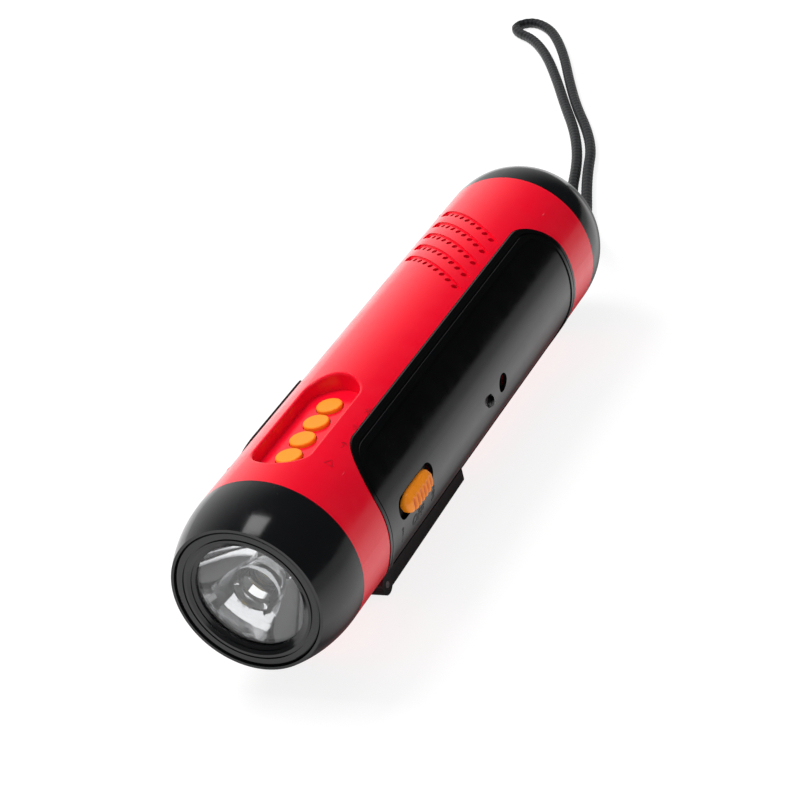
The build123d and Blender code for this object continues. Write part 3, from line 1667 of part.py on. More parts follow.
# Route of the wrist cord: out of the cap, down to the surface, round a long loop and back.
# Each point is (x, distance behind the body's rear rim, z).
cord_z = cord_radius + 0.05
cord_route = [
    (-1.7, cap_length - anchor_depth, axis_height),
    (-1.7, 34.0, axis_height),
    (-3.6, 45.5, 25.0),
    (-7.6, 55.0, 13.0),
    (-12.0, 67.0, 4.0),
    (-17.6, 82.0, cord_z),
    (-23.8, 98.0, cord_z),
    (-28.0, 113.5, cord_z),
    (-33.4, 129.0, cord_z),
    (-41.5, 147.0, cord_z),
    (-53.0, 168.0, cord_z),
    (-65.5, 192.0, cord_z),
    (-78.5, 215.0, cord_z),
    (-90.0, 230.5, cord_z),
    (-99.5, 237.5, cord_z),
    (-103.0, 244.5, cord_z),
    (-96.5, 248.0, cord_z),
    (-87.0, 240.5, cord_z),
    (-78.5, 228.0, cord_z),
    (-69.0, 210.5, cord_z),
    (-58.5, 188.0, cord_z),
    (-47.0, 165.0, cord_z),
    (-36.0, 146.0, cord_z),
    (-28.0, 129.0, cord_z),
    (-23.6, 113.5, cord_z),
    (-18.4, 98.0, cord_z),
    (-12.4, 82.0, cord_z),
    (-7.0, 67.0, 4.0),
    (-2.6, 55.0, 13.0),
    (0.6, 45.5, 25.0),
    (1.7, 34.0, axis_height),
    (1.7, cap_length - anchor_depth, axis_height),
]
cord_points = [Vector(x, body_rear_y + behind, z) for x, behind, z in cord_route]
runs = [b - a for a, b in zip(cord_points, cord_points[1:])]
cord_radii = []
for before, after in zip(runs, runs[1:]):
    turn = radians(before.get_angle(after))
    cord_radii.append(0.45 * min(before.length, after.length) / tan(turn / 2))
print("cord runs", [round(run.length, 1) for run in runs])
print("cord radii", [round(radius, 1) for radius in cord_radii])

with BuildPart() as wrist_cord:
    with BuildLine() as cord_line:
        FilletPolyline(*cord_points, radius=cord_radii)
    with BuildSketch(Plane(origin=cord_points[0], z_dir=(0, 1, 0))):
        Circle(cord_radius)
    sweep()
write(wrist_cord.part, "wrist_cord")
cord_length = sum(edge.length for edge in cord_line.edges())
print("cord length", round(cord_length, 1))
print("cord volume ratio", round(wrist_cord.part.volume / (cord_length * pi * cord_radius**2), 4))

# ---- screws -------------------------------------------------------------------------------------------


def screw(place, direction, radius, head_radius, head_height, length):
    """Pan-head screw: head under its place, shank along direction."""
    seat = Plane(origin=place, z_dir=direction)
    with BuildPart() as piece:
        with BuildSketch(seat):
            Circle(head_radius)
        extrude(amount=-head_height)
        with BuildSketch(seat):
            Circle(radius)
        extrude(amount=length)
        with BuildSketch(seat.offset(-head_height)):
            Rectangle(1.2 * head_radius, 0.3 * head_radius)
            Rectangle(0.3 * head_radius, 1.2 * head_radius)
        extrude(amount=0.5 * head_height, mode=Mode.SUBTRACT)
    return piece.part


with BuildPart() as housing_screws:
    for x, y in boss_places:
        add(
            screw(
                (x, y, screw_seat_z),
                (0, 0, 1),
                screw_radius,
                screw_head_radius,
                screw_head_height,
                axis_height - screw_seat_z + 10.0,
            )
        )
write(housing_screws.part, "housing_screws")

# Small screws: (place under the head, direction of the shank, depth past what they hold)
upward = (0, 0, 1)
button_board_low_z = button_board_top_z - board_thickness
small_screw_places = (
    [((x, post_rear_y, cover_top_z), (0, 0, -1), cover_thickness + 4.5) for x in (-post_x, post_x)]
    + [
        ((side * main_post_x, y, main_board_z), upward, board_thickness + 4.5)
        for side in (-1, 1)
        for y in main_post_ys
    ]
    + [
        ((0, button_y + side * button_post_y, button_board_low_z), upward, board_thickness + 3.0)
        for side in (-1, 1)
    ]
    + [((side_board_x, y, side_boss_z), (1, 0, 0), board_thickness + 4.5) for y in side_boss_ys]
    + [
        (
            (port_board_x + board_thickness, port_boss_y, side_boss_z),
            (-1, 0, 0),
            board_thickness + 4.5,
        )
    ]
)
with BuildPart() as small_screws:
    for place, direction, length in small_screw_places:
        add(
            screw(
                place,
                direction,
                small_screw_radius,
                small_screw_head,
                small_screw_head_height,
                length,
            )
        )
write(small_screws.part, "small_screws")

print("hub", round(hub_y, 3), "pin", round(pin_y, 3), round(pin_z, 3))
print("gears", round(gear_1_y, 3), round(gear_2_y, 3), round(rotor_y, 3))
print("port hinge", round(port_hinge_x, 3), round(port_hinge_z, 3), "knob", round(knob_z, 3))
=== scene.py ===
"""Looks of a hand crank torch: finishes, woven wrist cord, switch thumb, marks and studio.

Lengths are metres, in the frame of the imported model: +Z up, the lens towards -Y, the
switch panel towards +X.  The torch's axis is level, and the torch lies on its folded crank.
"""

import bmesh
import bpy
import numpy as np
from mathutils import Matrix, Vector


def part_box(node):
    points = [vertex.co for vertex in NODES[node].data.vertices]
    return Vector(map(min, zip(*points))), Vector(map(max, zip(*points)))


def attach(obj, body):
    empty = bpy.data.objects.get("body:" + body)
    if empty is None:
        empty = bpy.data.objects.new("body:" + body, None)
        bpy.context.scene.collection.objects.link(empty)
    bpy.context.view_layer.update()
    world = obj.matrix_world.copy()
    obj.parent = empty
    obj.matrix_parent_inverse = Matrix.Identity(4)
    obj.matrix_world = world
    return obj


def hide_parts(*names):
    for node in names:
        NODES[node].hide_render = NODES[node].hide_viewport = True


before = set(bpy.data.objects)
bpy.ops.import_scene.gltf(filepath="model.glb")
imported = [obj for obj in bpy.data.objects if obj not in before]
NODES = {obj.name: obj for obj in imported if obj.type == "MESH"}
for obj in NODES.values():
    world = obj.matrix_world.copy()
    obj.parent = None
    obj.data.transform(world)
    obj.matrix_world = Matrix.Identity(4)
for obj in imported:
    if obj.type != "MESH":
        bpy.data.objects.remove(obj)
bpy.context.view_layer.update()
MM = 0.001
SQUARE = ((-1, -1), (1, -1), (1, 1), (-1, 1))

# ---- places read from the frame -------------------------------------------------------

upper_low, upper_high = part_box("upper_housing")
PANEL_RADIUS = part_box("side_panel")[1].x
slider_low, slider_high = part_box("switch_slider")
TUBE_RADIUS = (upper_high.x - upper_low.x) / 2
AXIS_Z = upper_high.z - TUBE_RADIUS
BODY_REAR = upper_high.y
PANEL_RIM_RISE = 0.3 * MM
FIELD_RADIUS = PANEL_RADIUS - PANEL_RIM_RISE
SWITCH_Y = (slider_low.y + slider_high.y) / 2
BUTTON_YS = [sum(corner.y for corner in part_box(f"button_{n}")) / 2 for n in (1, 2, 3, 4)]

# ---- meshes ---------------------------------------------------------------------------


def add_object(name, data):
    """Object of that name on the data, linked into the scene."""
    piece = bpy.data.objects.new(name, data)
    bpy.context.scene.collection.objects.link(piece)
    return piece


def evaluated_mesh(name, data):
    """Mesh of a curve or a text, evaluated once and left without an object."""
    holder = add_object(name, data)
    bpy.context.view_layer.update()
    graph = bpy.context.evaluated_depsgraph_get()
    mesh = bpy.data.meshes.new_from_object(holder.evaluated_get(graph))
    bpy.data.objects.remove(holder)
    return mesh


def new_mesh(name, points, faces, body, material, smooth=True):
    """Object named name from points and faces, which rides on body and takes its slot's finish."""
    mesh = bpy.data.meshes.new(name)
    mesh.from_pydata(np.asarray(points, float).reshape(-1, 3).tolist(), [], faces)
    mesh.validate()
    mesh.materials.append(material)
    mesh.polygons.foreach_set("use_smooth", np.full(len(mesh.polygons), smooth))
    piece = add_object(name, mesh)
    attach(piece, body)
    return piece


def tube_faces(rows, columns):
    """Quads between rows rings of columns points each, and one face over each end ring."""
    i = np.arange(rows - 1)[:, None]
    j = np.arange(columns)[None, :]
    here, below, after = i * columns, (i + 1) * columns, (j + 1) % columns
    corners = [here + j, here + after, below + after, below + j]
    sides = np.stack([np.broadcast_to(c, (rows - 1, columns)) for c in corners], -1)
    last = (rows - 1) * columns
    caps = [list(range(columns)), [last + k for k in reversed(range(columns))]]
    return sides.reshape(-1, 4).tolist() + caps


def point_values(piece, name, values):
    """Store one number for each point of the piece, as its attribute of that name."""
    attribute = piece.data.attributes.new(name, "FLOAT", "POINT")
    attribute.data.foreach_set("value", values.astype(np.float32).ravel())


def outward(piece):
    """Recalculate the normals of a closed piece so that they point outwards."""
    work = bmesh.new()
    work.from_mesh(piece.data)
    bmesh.ops.recalc_face_normals(work, faces=work.faces)
    work.to_mesh(piece.data)
    work.free()


def eased(value, low, high):
    """Smooth step of value from 0 at low to 1 at high."""
    t = np.clip((value - low) / (high - low), 0.0, 1.0)
    return t * t * (3.0 - 2.0 * t)


def on_tube(along, around, radius, y, angle):
    """Points on a tube of that radius, along from y and around from the angle.

    x = radius sin(turn), z = axis + radius cos(turn), with turn = angle - around / radius, in
    radians from the top.
    """
    turn = angle - np.asarray(around, float) / radius
    return np.stack(
        [radius * np.sin(turn), y + np.asarray(along, float), AXIS_Z + radius * np.cos(turn)], -1
    )


# ---- shader groups and materials --------------------------------------------------------


def shader_group(name, inputs, outputs):
    """New node group with the named float or colour sockets; returns it with its two end nodes."""
    group = bpy.data.node_groups.new(name, "ShaderNodeTree")
    for label, kind, value in inputs:
        socket = group.interface.new_socket(label, in_out="INPUT", socket_type=kind)
        socket.default_value = value
    for label, kind in outputs:
        group.interface.new_socket(label, in_out="OUTPUT", socket_type=kind)
    return group, group.nodes.new("NodeGroupInput"), group.nodes.new("NodeGroupOutput")


def mix_colour(tree, factor, first, second):
    """Mix node between two colours; each argument is a socket or a plain value."""
    node = tree.nodes.new("ShaderNodeMix")
    node.data_type = "RGBA"
    sockets = (node.inputs[0], node.inputs[6], node.inputs[7])
    for socket, value in zip(sockets, (factor, first, second)):
        if isinstance(value, bpy.types.NodeSocket):
            tree.links.new(value, socket)
        elif isinstance(value, float):
            socket.default_value = value
        else:
            socket.default_value = (*value, 1.0)
    return node.outputs[2]


def map_range(tree, value, low, high, to_low, to_high):
    """Clamped linear map of a value; the four limits are sockets or plain numbers."""
    node = tree.nodes.new("ShaderNodeMapRange")
    tree.links.new(value, node.inputs[0])
    for socket, limit in zip(node.inputs[1:5], (low, high, to_low, to_high)):
        if isinstance(limit, bpy.types.NodeSocket):
            tree.links.new(limit, socket)
        else:
            socket.default_value = limit
    return node.outputs[0]


def noise(tree, place, scale, detail=2.0):
    """Noise texture value on the given coordinates; scale is a socket or a number per metre."""
    node = tree.nodes.new("ShaderNodeTexNoise")
    node.inputs["Detail"].default_value = detail
    tree.links.new(place, node.inputs["Vector"])
    if isinstance(scale, bpy.types.NodeSocket):
        tree.links.new(scale, node.inputs["Scale"])
    else:
        node.inputs["Scale"].default_value = scale
    return node.outputs["Fac"]


GRAIN_HEIGHT = 0.0001
FIBRE_HEIGHT = 0.00008
DUST_COLOUR = (0.35, 0.34, 0.33)


def moulding_group():
    """Moulded surface: grain for the bump, cloudy roughness, and a slow shade of the colour."""
    group, ends_in, ends_out = shader_group(
        "moulded_surface",
        [
            ("Grain Scale", "NodeSocketFloat", 1500.0),
            ("Grain Depth", "NodeSocketFloat", 0.1),
            ("Smooth", "NodeSocketFloat", 0.2),
            ("Rough", "NodeSocketFloat", 0.3),
            ("Light", "NodeSocketColor", (1, 1, 1, 1)),
            ("Dark", "NodeSocketColor", (0.8, 0.8, 0.8, 1)),
        ],
        [
            ("Color", "NodeSocketColor"),
            ("Roughness", "NodeSocketFloat"),
            ("Normal", "NodeSocketVector"),
        ],
    )
    place = group.nodes.new("ShaderNodeTexCoord").outputs["Object"]
    cloud = noise(group, place, 45.0, 3.0)
    smear = noise(group, place, 190.0, 4.0)
    grain = noise(group, place, ends_in.outputs["Grain Scale"], 2.0)
    given = ends_in.outputs
    shade = map_range(group, cloud, 0.35, 0.65, 0.0, 1.0)
    colour = mix_colour(group, shade, given["Dark"], given["Light"])
    rough = map_range(group, smear, 0.35, 0.68, given["Smooth"], given["Rough"])
    bump = group.nodes.new("ShaderNodeBump")
    bump.inputs["Distance"].default_value = GRAIN_HEIGHT
    group.links.new(grain, bump.inputs["Height"])
    group.links.new(ends_in.outputs["Grain Depth"], bump.inputs["Strength"])
    group.links.new(colour, ends_out.inputs["Color"])
    group.links.new(rough, ends_out.inputs["Roughness"])
    group.links.new(bump.outputs["Normal"], ends_out.inputs["Normal"])
    return group


def dust_group():
    """Fine dust: small pale specks, sparse over the surface, as a mask."""
    group, ends_in, ends_out = shader_group(
        "fine_dust",
        [("Scale", "NodeSocketFloat", 900.0), ("Size", "NodeSocketFloat", 0.08)],
        [("Mask", "NodeSocketFloat")],
    )
    place = group.nodes.new("ShaderNodeTexCoord").outputs["Object"]
    cells = group.nodes.new("ShaderNodeTexVoronoi")
    group.links.new(place, cells.inputs["Vector"])
    group.links.new(ends_in.outputs["Scale"], cells.inputs["Scale"])
    near = group.nodes.new("ShaderNodeMath")
    near.operation = "LESS_THAN"
    group.links.new(cells.outputs["Distance"], near.inputs[0])
    group.links.new(ends_in.outputs["Size"], near.inputs[1])
    patch = map_range(group, noise(group, place, 120.0, 1.0), 0.55, 0.75, 0.0, 0.6)
    mask = group.nodes.new("ShaderNodeMath")
    mask.operation = "MULTIPLY"
    group.links.new(near.outputs[0], mask.inputs[0])
    group.links.new(patch, mask.inputs[1])
    group.links.new(mask.outputs[0], ends_out.inputs["Mask"])
    return group


MOULDED = moulding_group()
DUST = dust_group()


def blank_material(name):
    """New material with a Principled BSDF; returns it, its tree and the shader."""
    material = bpy.data.materials.new(name)
    material.use_nodes = True
    return material, material.node_tree, material.node_tree.nodes["Principled BSDF"]


def surface_node(tree, smooth, rough, light, dark):
    """The moulded surface group, placed in a material's tree with its own values."""
    surface = tree.nodes.new("ShaderNodeGroup")
    surface.node_tree = MOULDED
    surface.inputs["Smooth"].default_value = smooth
    surface.inputs["Rough"].default_value = rough
    surface.inputs["Light"].default_value = (*light, 1.0)
    surface.inputs["Dark"].default_value = (*dark, 1.0)
    return surface


def moulded(
    name, colour, smooth, rough, grain=0.05, scale=1500.0, shade=0.85, dust=0.0, **sockets
):
    """Moulded or coated finish from the shared groups; sockets sets plain shader values by name."""
    material, tree, shader = blank_material(name)
    surface = surface_node(tree, smooth, rough, colour, [shade * c for c in colour])
    surface.inputs["Grain Scale"].default_value = scale
    surface.inputs["Grain Depth"].default_value = grain
    paint = surface.outputs["Color"]
    if dust:
        specks = tree.nodes.new("ShaderNodeGroup")
        specks.node_tree = DUST
        specks.inputs["Size"].default_value = dust
        paint = mix_colour(tree, specks.outputs["Mask"], paint, DUST_COLOUR)
    tree.links.new(paint, shader.inputs["Base Color"])
    tree.links.new(surface.outputs["Roughness"], shader.inputs["Roughness"])
    tree.links.new(surface.outputs["Normal"], shader.inputs["Normal"])
    for label, value in sockets.items():
        shader.inputs[label.replace("_", " ")].default_value = value
    return material


RED = moulded("red_shell", (0.86, 0.0035, 0.022), 0.15, 0.24, grain=0.03, scale=900.0, shade=0.95)
SHELL_MARK = moulded("shell_mark_red", (0.55, 0.002, 0.014), 0.3, 0.4, grain=0.05)
GLOSS_BLACK = moulded("gloss_black_head", (0.0075, 0.008, 0.0088), 0.1, 0.18, grain=0.03, dust=0.05)
PANEL_BLACK = moulded(
    "gloss_black_panel", (0.0028, 0.003, 0.0032), 0.13, 0.21, grain=0.03, dust=0.05
)
ARM_BLACK = moulded(
    "fine_grained_black", (0.008, 0.0085, 0.009), 0.34, 0.48,
    grain=0.35, scale=2600.0, dust=0.05
)
# Black of the printed words and dots, and of the painted shade plate in the switch slot.
PRINT_AND_SHADE_BLACK = moulded("print_and_painted_shade_black", (0.004, 0.004, 0.004), 0.5, 0.6)
ORANGE = moulded(
    "orange_buttons", (1.0, 0.29, 0.012), 0.32, 0.42,
    grain=0.12, scale=2200.0, shade=0.94, Specular_IOR_Level=0.35
)
RUBBER = moulded(
    "black_rubber", (0.014, 0.014, 0.014), 0.6, 0.75, grain=0.5, scale=3200.0, dust=0.07
)
STEEL = moulded("zinc_plated_steel", (0.62, 0.62, 0.64), 0.2, 0.34, grain=0.08, Metallic=1.0)
ALUMINIUM = moulded("turned_aluminium", (0.76, 0.77, 0.79), 0.25, 0.4, grain=0.15, Metallic=1.0)
COPPER = moulded(
    "enamelled_copper", (0.78, 0.32, 0.14), 0.18, 0.3,
    grain=0.4, scale=4000.0, Metallic=1.0
)
FERRITE = moulded("ferrite", (0.05, 0.05, 0.055), 0.45, 0.6, grain=0.3)
BOARD = moulded("green_solder_mask", (0.012, 0.16, 0.05), 0.3, 0.42, grain=0.1)
WHITE_BOARD = moulded("white_solder_mask", (0.84, 0.84, 0.80), 0.35, 0.5, grain=0.1)
NYLON = moulded("natural_nylon", (0.86, 0.83, 0.74), 0.35, 0.5, grain=0.1, Subsurface_Weight=0.1)
PAPER = moulded("pressed_paper", (0.05, 0.045, 0.04), 0.75, 0.9, grain=0.8, scale=2500.0)
CELL_WRAP = moulded("cell_sleeve", (0.02, 0.2, 0.12), 0.25, 0.35, grain=0.04)
PHOSPHOR = moulded("lamp_phosphor", (0.95, 0.72, 0.12), 0.3, 0.4, grain=0.1)
MIRROR = moulded(
    "metallised_bowl", (0.93, 0.93, 0.94), 0.03, 0.07,
    grain=0.02, scale=500.0, shade=0.97, Metallic=1.0
)


def clear(name, tint, smooth, rough, index):
    """Clear moulded plastic: full transmission, faint wipe marks in the roughness."""
    material, tree, shader = blank_material(name)
    surface = surface_node(tree, smooth, rough, tint, tint)
    tree.links.new(surface.outputs["Color"], shader.inputs["Base Color"])
    tree.links.new(surface.outputs["Roughness"], shader.inputs["Roughness"])
    shader.inputs["Transmission Weight"].default_value = 1.0
    shader.inputs["IOR"].default_value = index
    return material


CLEAR = clear("clear_lens", (0.985, 0.99, 0.99), 0.0, 0.02, 1.45)


def cord_material():
    """Woven cord: pale dry strands, and painted shade in the gaps between them, from the mesh's
    weave value.
    """
    material, tree, shader = blank_material("woven_cord")
    weave = tree.nodes.new("ShaderNodeAttribute")
    weave.attribute_name = "weave"
    place = tree.nodes.new("ShaderNodeTexCoord").outputs["Object"]
    fibre = noise(tree, place, 5200.0, 3.0)
    strand = mix_colour(tree, fibre, (0.007, 0.008, 0.009), (0.02, 0.023, 0.026))
    # Painted shade: where the weave sinks between the strands, the colour goes to near black.
    height = map_range(tree, weave.outputs["Fac"], -0.6, 0.6, 0.0, 1.0)
    colour = mix_colour(tree, height, (0.003, 0.003, 0.0035), strand)
    tree.links.new(colour, shader.inputs["Base Color"])
    tree.links.new(map_range(tree, fibre, 0.3, 0.7, 0.45, 0.65), shader.inputs["Roughness"])
    bump = tree.nodes.new("ShaderNodeBump")
    bump.inputs["Distance"].default_value = FIBRE_HEIGHT
    bump.inputs["Strength"].default_value = 0.6
    tree.links.new(fibre, bump.inputs["Height"])
    tree.links.new(bump.outputs["Normal"], shader.inputs["Normal"])
    shader.inputs["Sheen Weight"].default_value = 0.08
    shader.inputs["Sheen Roughness"].default_value = 0.4
    return material


CORD = cord_material()


def orange_with_painted_groove_shade():
    """The buttons' orange, with painted shade: a darker orange in the rib grooves, where the mesh
    marks them.
    """
    material, tree, shader = blank_material("orange_with_painted_groove_shade")
    surface = surface_node(tree, 0.24, 0.34, (1.0, 0.30, 0.012), (0.95, 0.27, 0.010))
    groove_shade = tree.nodes.new("ShaderNodeAttribute")
    groove_shade.attribute_name = "groove_shade"
    # Painted shade: the rib grooves take a darker orange in place of the shade that falls in them.
    colour = mix_colour(tree, groove_shade.outputs["Fac"], surface.outputs["Color"], (0.62, 0.085, 0.002))
    tree.links.new(colour, shader.inputs["Base Color"])
    tree.links.new(surface.outputs["Roughness"], shader.inputs["Roughness"])
    tree.links.new(surface.outputs["Normal"], shader.inputs["Normal"])
    shader.inputs["Specular IOR Level"].default_value = 0.4
    return material


ORANGE_WITH_GROOVE_SHADE = orange_with_painted_groove_shade()

FINISHES = [
    (RED, "upper_housing lower_housing"),
    (GLOSS_BLACK, "head_bezel lens_ring end_cap"),
    (PANEL_BLACK, "side_panel"),
    (
        ARM_BLACK,
        "crank_arm knob cord_anchor dc_jack slide_switch gearbox_frame gearbox_cover battery_tray"
        " speaker_frame board_components tact_switches",
    ),
    (ORANGE, "button_1 button_2 button_3 button_4 switch_slider"),
    (RUBBER, "port_cover lens_seal"),
    (CLEAR, "front_lens centre_optic charge_lamp"),
    (MIRROR, "reflector"),
    (
        STEEL,
        "knob_pin crank_screw crank_shaft gear_axle_1 gear_axle_2 rotor_axle housing_screws"
        " small_screws knob_spindle output_socket stator_can",
    ),
    (CELL_WRAP, "battery_cell_1 battery_cell_2 battery_cell_3"),
    (FERRITE, "rotor_magnet speaker_magnet"),
    (COPPER, "stator_coil"),
    (ALUMINIUM, "heatsink"),
    (BOARD, "side_board port_board button_board main_board"),
    (WHITE_BOARD, "led_board"),
    (PHOSPHOR, "main_led"),
    (NYLON, "drive_gear compound_gear_1 compound_gear_2 rotor_pinion switch_stem"),
    (PAPER, "speaker_cone"),
]


def finish_nodes():
    """Give each CAD node its finish."""
    for material, names in FINISHES:
        for name in names.split():
            mesh = NODES[name].data
            mesh.materials.clear()
            mesh.materials.append(material)


finish_nodes()

# ---- wrist cord ---------------------------------------------------------------------------

CORD_RADIUS = 1.95 * MM
CORD_END_RADIUS = 1.5 * MM
CORD_SWELL_FROM = 8.0 * MM
CORD_SWELL_TO = 30.0 * MM
CORD_Z = 2.0 * MM
# Route as (x, distance behind the body's rear rim, height); the height is CORD_Z where it lies
LYING = CORD_Z / MM
CORD_ROUTE = [
    (-1.7, 21.5, 30.0),
    (-1.7, 34.0, 30.0),
    (-3.6, 45.5, 25.0),
    (-7.6, 55.0, 13.0),
    (-12.0, 67.0, 4.4),
    (-17.6, 82.0, LYING),
    (-23.8, 98.0, LYING),
    (-28.0, 113.5, LYING),
    (-33.4, 129.0, LYING),
    (-41.5, 147.0, LYING),
    (-53.0, 168.0, LYING),
    (-65.5, 192.0, LYING),
    (-78.5, 215.0, LYING),
    (-90.0, 230.5, LYING),
    (-99.5, 237.5, LYING),
    (-103.0, 244.5, LYING),
    (-96.5, 248.0, LYING),
    (-87.0, 240.5, LYING),
    (-78.5, 228.0, LYING),
    (-69.0, 210.5, LYING),
    (-58.5, 188.0, LYING),
    (-47.0, 165.0, LYING),
    (-36.0, 146.0, LYING),
    (-28.0, 129.0, LYING),
    (-23.6, 113.5, LYING),
    (-18.4, 98.0, LYING),
    (-12.4, 82.0, LYING),
    (-7.0, 67.0, 4.4),
    (-2.6, 55.0, 13.0),
    (0.6, 45.5, 25.0),
    (1.7, 34.0, 30.0),
    (1.7, 21.5, 30.0),
]
BRAID_BUMPS = 7
BRAID_PITCH = 2.6 * MM
BRAID_HEIGHT = 0.09 * MM
CORD_RING_STEP = 0.34 * MM
CORD_SIDES = 28
TANGENT_PASSES = 4


def nurbs_points(route):
    """Points of the smooth NURBS line that has the route as its control points."""
    curve = bpy.data.curves.new("cord_route", "CURVE")
    curve.dimensions = "3D"
    spline = curve.splines.new("NURBS")
    spline.points.add(len(route) - 1)
    for point, place in zip(spline.points, route):
        point.co = (*place, 1.0)
    spline.order_u = 3
    spline.use_endpoint_u = True
    spline.resolution_u = 16
    line = evaluated_mesh("cord_route", curve)
    points = np.array([vertex.co for vertex in line.vertices])
    bpy.data.meshes.remove(line)
    return points


def even_steps(points, step):
    """The same line with its points about one step apart along its length."""
    gone = np.concatenate([[0], np.cumsum(np.linalg.norm(np.diff(points, axis=0), axis=1))])
    marks = np.linspace(0, gone[-1], int(round(gone[-1] / step)) + 1)
    return np.stack([np.interp(marks, gone, points[:, k]) for k in range(3)], -1), marks


def smoothed(values, passes):
    """Values averaged with their neighbours a few times, ends kept."""
    for _ in range(passes):
        values[1:-1] = 0.25 * values[:-2] + 0.5 * values[1:-1] + 0.25 * values[2:]
    return values


def make_cord():
    """Braided tube on the route: radius = mean + height cos(nt + ks) cos(nt - ks).

    t is the angle round the cord, s the length along it, n the bumps round it and k = 2 pi / pitch,
    so that two families of strands cross and each crossing stands proud in turn.  The mean radius
    eases from the end radius, where the cord leaves the cap, to the full one.
    """
    route = [(x * MM, BODY_REAR + behind * MM, z * MM) for x, behind, z in CORD_ROUTE]
    line, along = even_steps(nurbs_points(route), CORD_RING_STEP)
    tangent = smoothed(np.gradient(line, axis=0), TANGENT_PASSES)
    tangent /= np.linalg.norm(tangent, axis=1, keepdims=True)
    side = np.cross(tangent, (0.0, 0.0, 1.0))
    side /= np.linalg.norm(side, axis=1, keepdims=True)
    rise = np.cross(side, tangent)
    angle = np.linspace(0, 2 * np.pi, CORD_SIDES, endpoint=False)[None, :]
    phase = (2 * np.pi / BRAID_PITCH) * along[:, None]
    round_phase = BRAID_BUMPS * angle / 2
    weave = np.cos(round_phase + phase / 2) * np.cos(round_phase - phase / 2)
    inside = np.minimum(along, along[-1] - along)[:, None]
    swell = eased(inside, CORD_SWELL_FROM, CORD_SWELL_TO)
    radius = CORD_END_RADIUS + (CORD_RADIUS - CORD_END_RADIUS) * swell
    radius = radius + BRAID_HEIGHT * (weave - 1.0)
    points = (
        line[:, None, :]
        + radius[..., None] * np.cos(angle)[..., None] * side[:, None, :]
        + radius[..., None] * np.sin(angle)[..., None] * rise[:, None, :]
    )
    faces = tube_faces(len(line), CORD_SIDES)
    cord = new_mesh("woven_wrist_cord", points, faces, "torch_body", CORD)
    point_values(cord, "weave", weave)
    outward(cord)
    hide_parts("wrist_cord")


make_cord()

# ---- marks on the shell and on the panel -----------------------------------------------------

MARK_LIFT = 0.05 * MM


def bent_outline(name, outlines, radius, y, angle, body, material):
    """Flat shapes laid on the tube: each outline is a list of (along, around) in millimetres.

    Each shape becomes a thin closed plate whose outer face stands MARK_LIFT above the tube.
    """
    points, faces = [], []
    for outline in outlines:
        along, around = np.array(outline, float).T * MM
        count, first = len(outline), len(points)
        for shell in (radius - MARK_LIFT, radius + MARK_LIFT):
            points.extend(on_tube(along, around * shell / radius, shell, y, angle).tolist())
        faces.append([first + k for k in range(count)])
        faces.append([first + count + k for k in reversed(range(count))])
        for k in range(count):
            after = (k + 1) % count
            faces.append([first + k, first + count + k, first + count + after, first + after])
    outward(new_mesh(name, points, faces, body, material, smooth=False))


def bar(along, around, length, width, turn=0.0):
    """Outline of a bar centred at (along, around), turned by turn degrees."""
    corners = np.array(SQUARE) * (length / 2, width / 2)
    c, s = np.cos(np.radians(turn)), np.sin(np.radians(turn))
    return (corners @ np.array([(c, s), (-s, c)]) + (along, around)).tolist()


def disc(along, around, radius, sides=20):
    """Outline of a round dot."""
    t = np.linspace(0, 2 * np.pi, sides, endpoint=False)
    return np.stack([along + radius * np.cos(t), around + radius * np.sin(t)], -1).tolist()


ICON_ANGLE = np.radians(33.0)
ICON_SHIFT = 3.0 * MM
ICON_YS = [y - ICON_SHIFT for y in BUTTON_YS]
LINE = 0.22
ICON_SHAPES = {
    "mark_wedge": [
        bar(-1.0, 0.0, LINE, 2.2),
        bar(0.1, 0.62, 2.4, LINE, -28.0),
        bar(0.1, -0.62, 2.4, LINE, 28.0),
    ],
    "mark_arrow": [
        bar(0.0, 0.0, 2.6, LINE),
        bar(0.9, 0.45, 1.1, LINE, -45.0),
        bar(0.9, -0.45, 1.1, LINE, 45.0),
    ],
    "mark_bars": [bar(-0.8, 0.0, LINE, 1.2), bar(0.0, 0.0, LINE, 1.9), bar(0.8, 0.0, LINE, 2.6)],
    "mark_rays": [bar(0.0, 0.0, 2.8, LINE, turn) for turn in (0.0, 45.0, 90.0, 135.0)],
}
for (mark_name, shapes), mark_y in zip(ICON_SHAPES.items(), ICON_YS):
    bent_outline(
        mark_name,
        shapes,
        TUBE_RADIUS,
        mark_y,
        ICON_ANGLE,
        "torch_body",
        SHELL_MARK,
    )

DOT_ANGLE = np.radians(102.5)
WORD_ANGLE = np.radians(108.5)
POSITION_STEP = 10.4 * MM
WORDS = ("1", "OFF", "2")
WORD_HEIGHT = 3.0 * MM
WORD_WEIGHT = 0.16 * MM
CAPITAL_SHARE = 0.7
DOT_RADIUS = 0.55


def panel_word(name, text, y):
    """Letters laid on the panel, read rearward with their tops towards the switch."""
    font = bpy.data.curves.new(name, "FONT")
    font.body = text
    font.size = WORD_HEIGHT / CAPITAL_SHARE
    font.align_x = "CENTER"
    font.align_y = "CENTER"
    font.extrude = MARK_LIFT
    font.offset = WORD_WEIGHT
    flat = evaluated_mesh(name, font)
    places = np.array([vertex.co for vertex in flat.vertices])
    faces = [list(polygon.vertices) for polygon in flat.polygons]
    shell = FIELD_RADIUS + places[:, 2]
    turn = WORD_ANGLE - places[:, 1] / FIELD_RADIUS
    bent = np.stack([shell * np.sin(turn), y + places[:, 0], AXIS_Z + shell * np.cos(turn)], -1)
    outward(new_mesh(name, bent, faces, "torch_body", PRINT_AND_SHADE_BLACK, smooth=False))
    bpy.data.meshes.remove(flat)


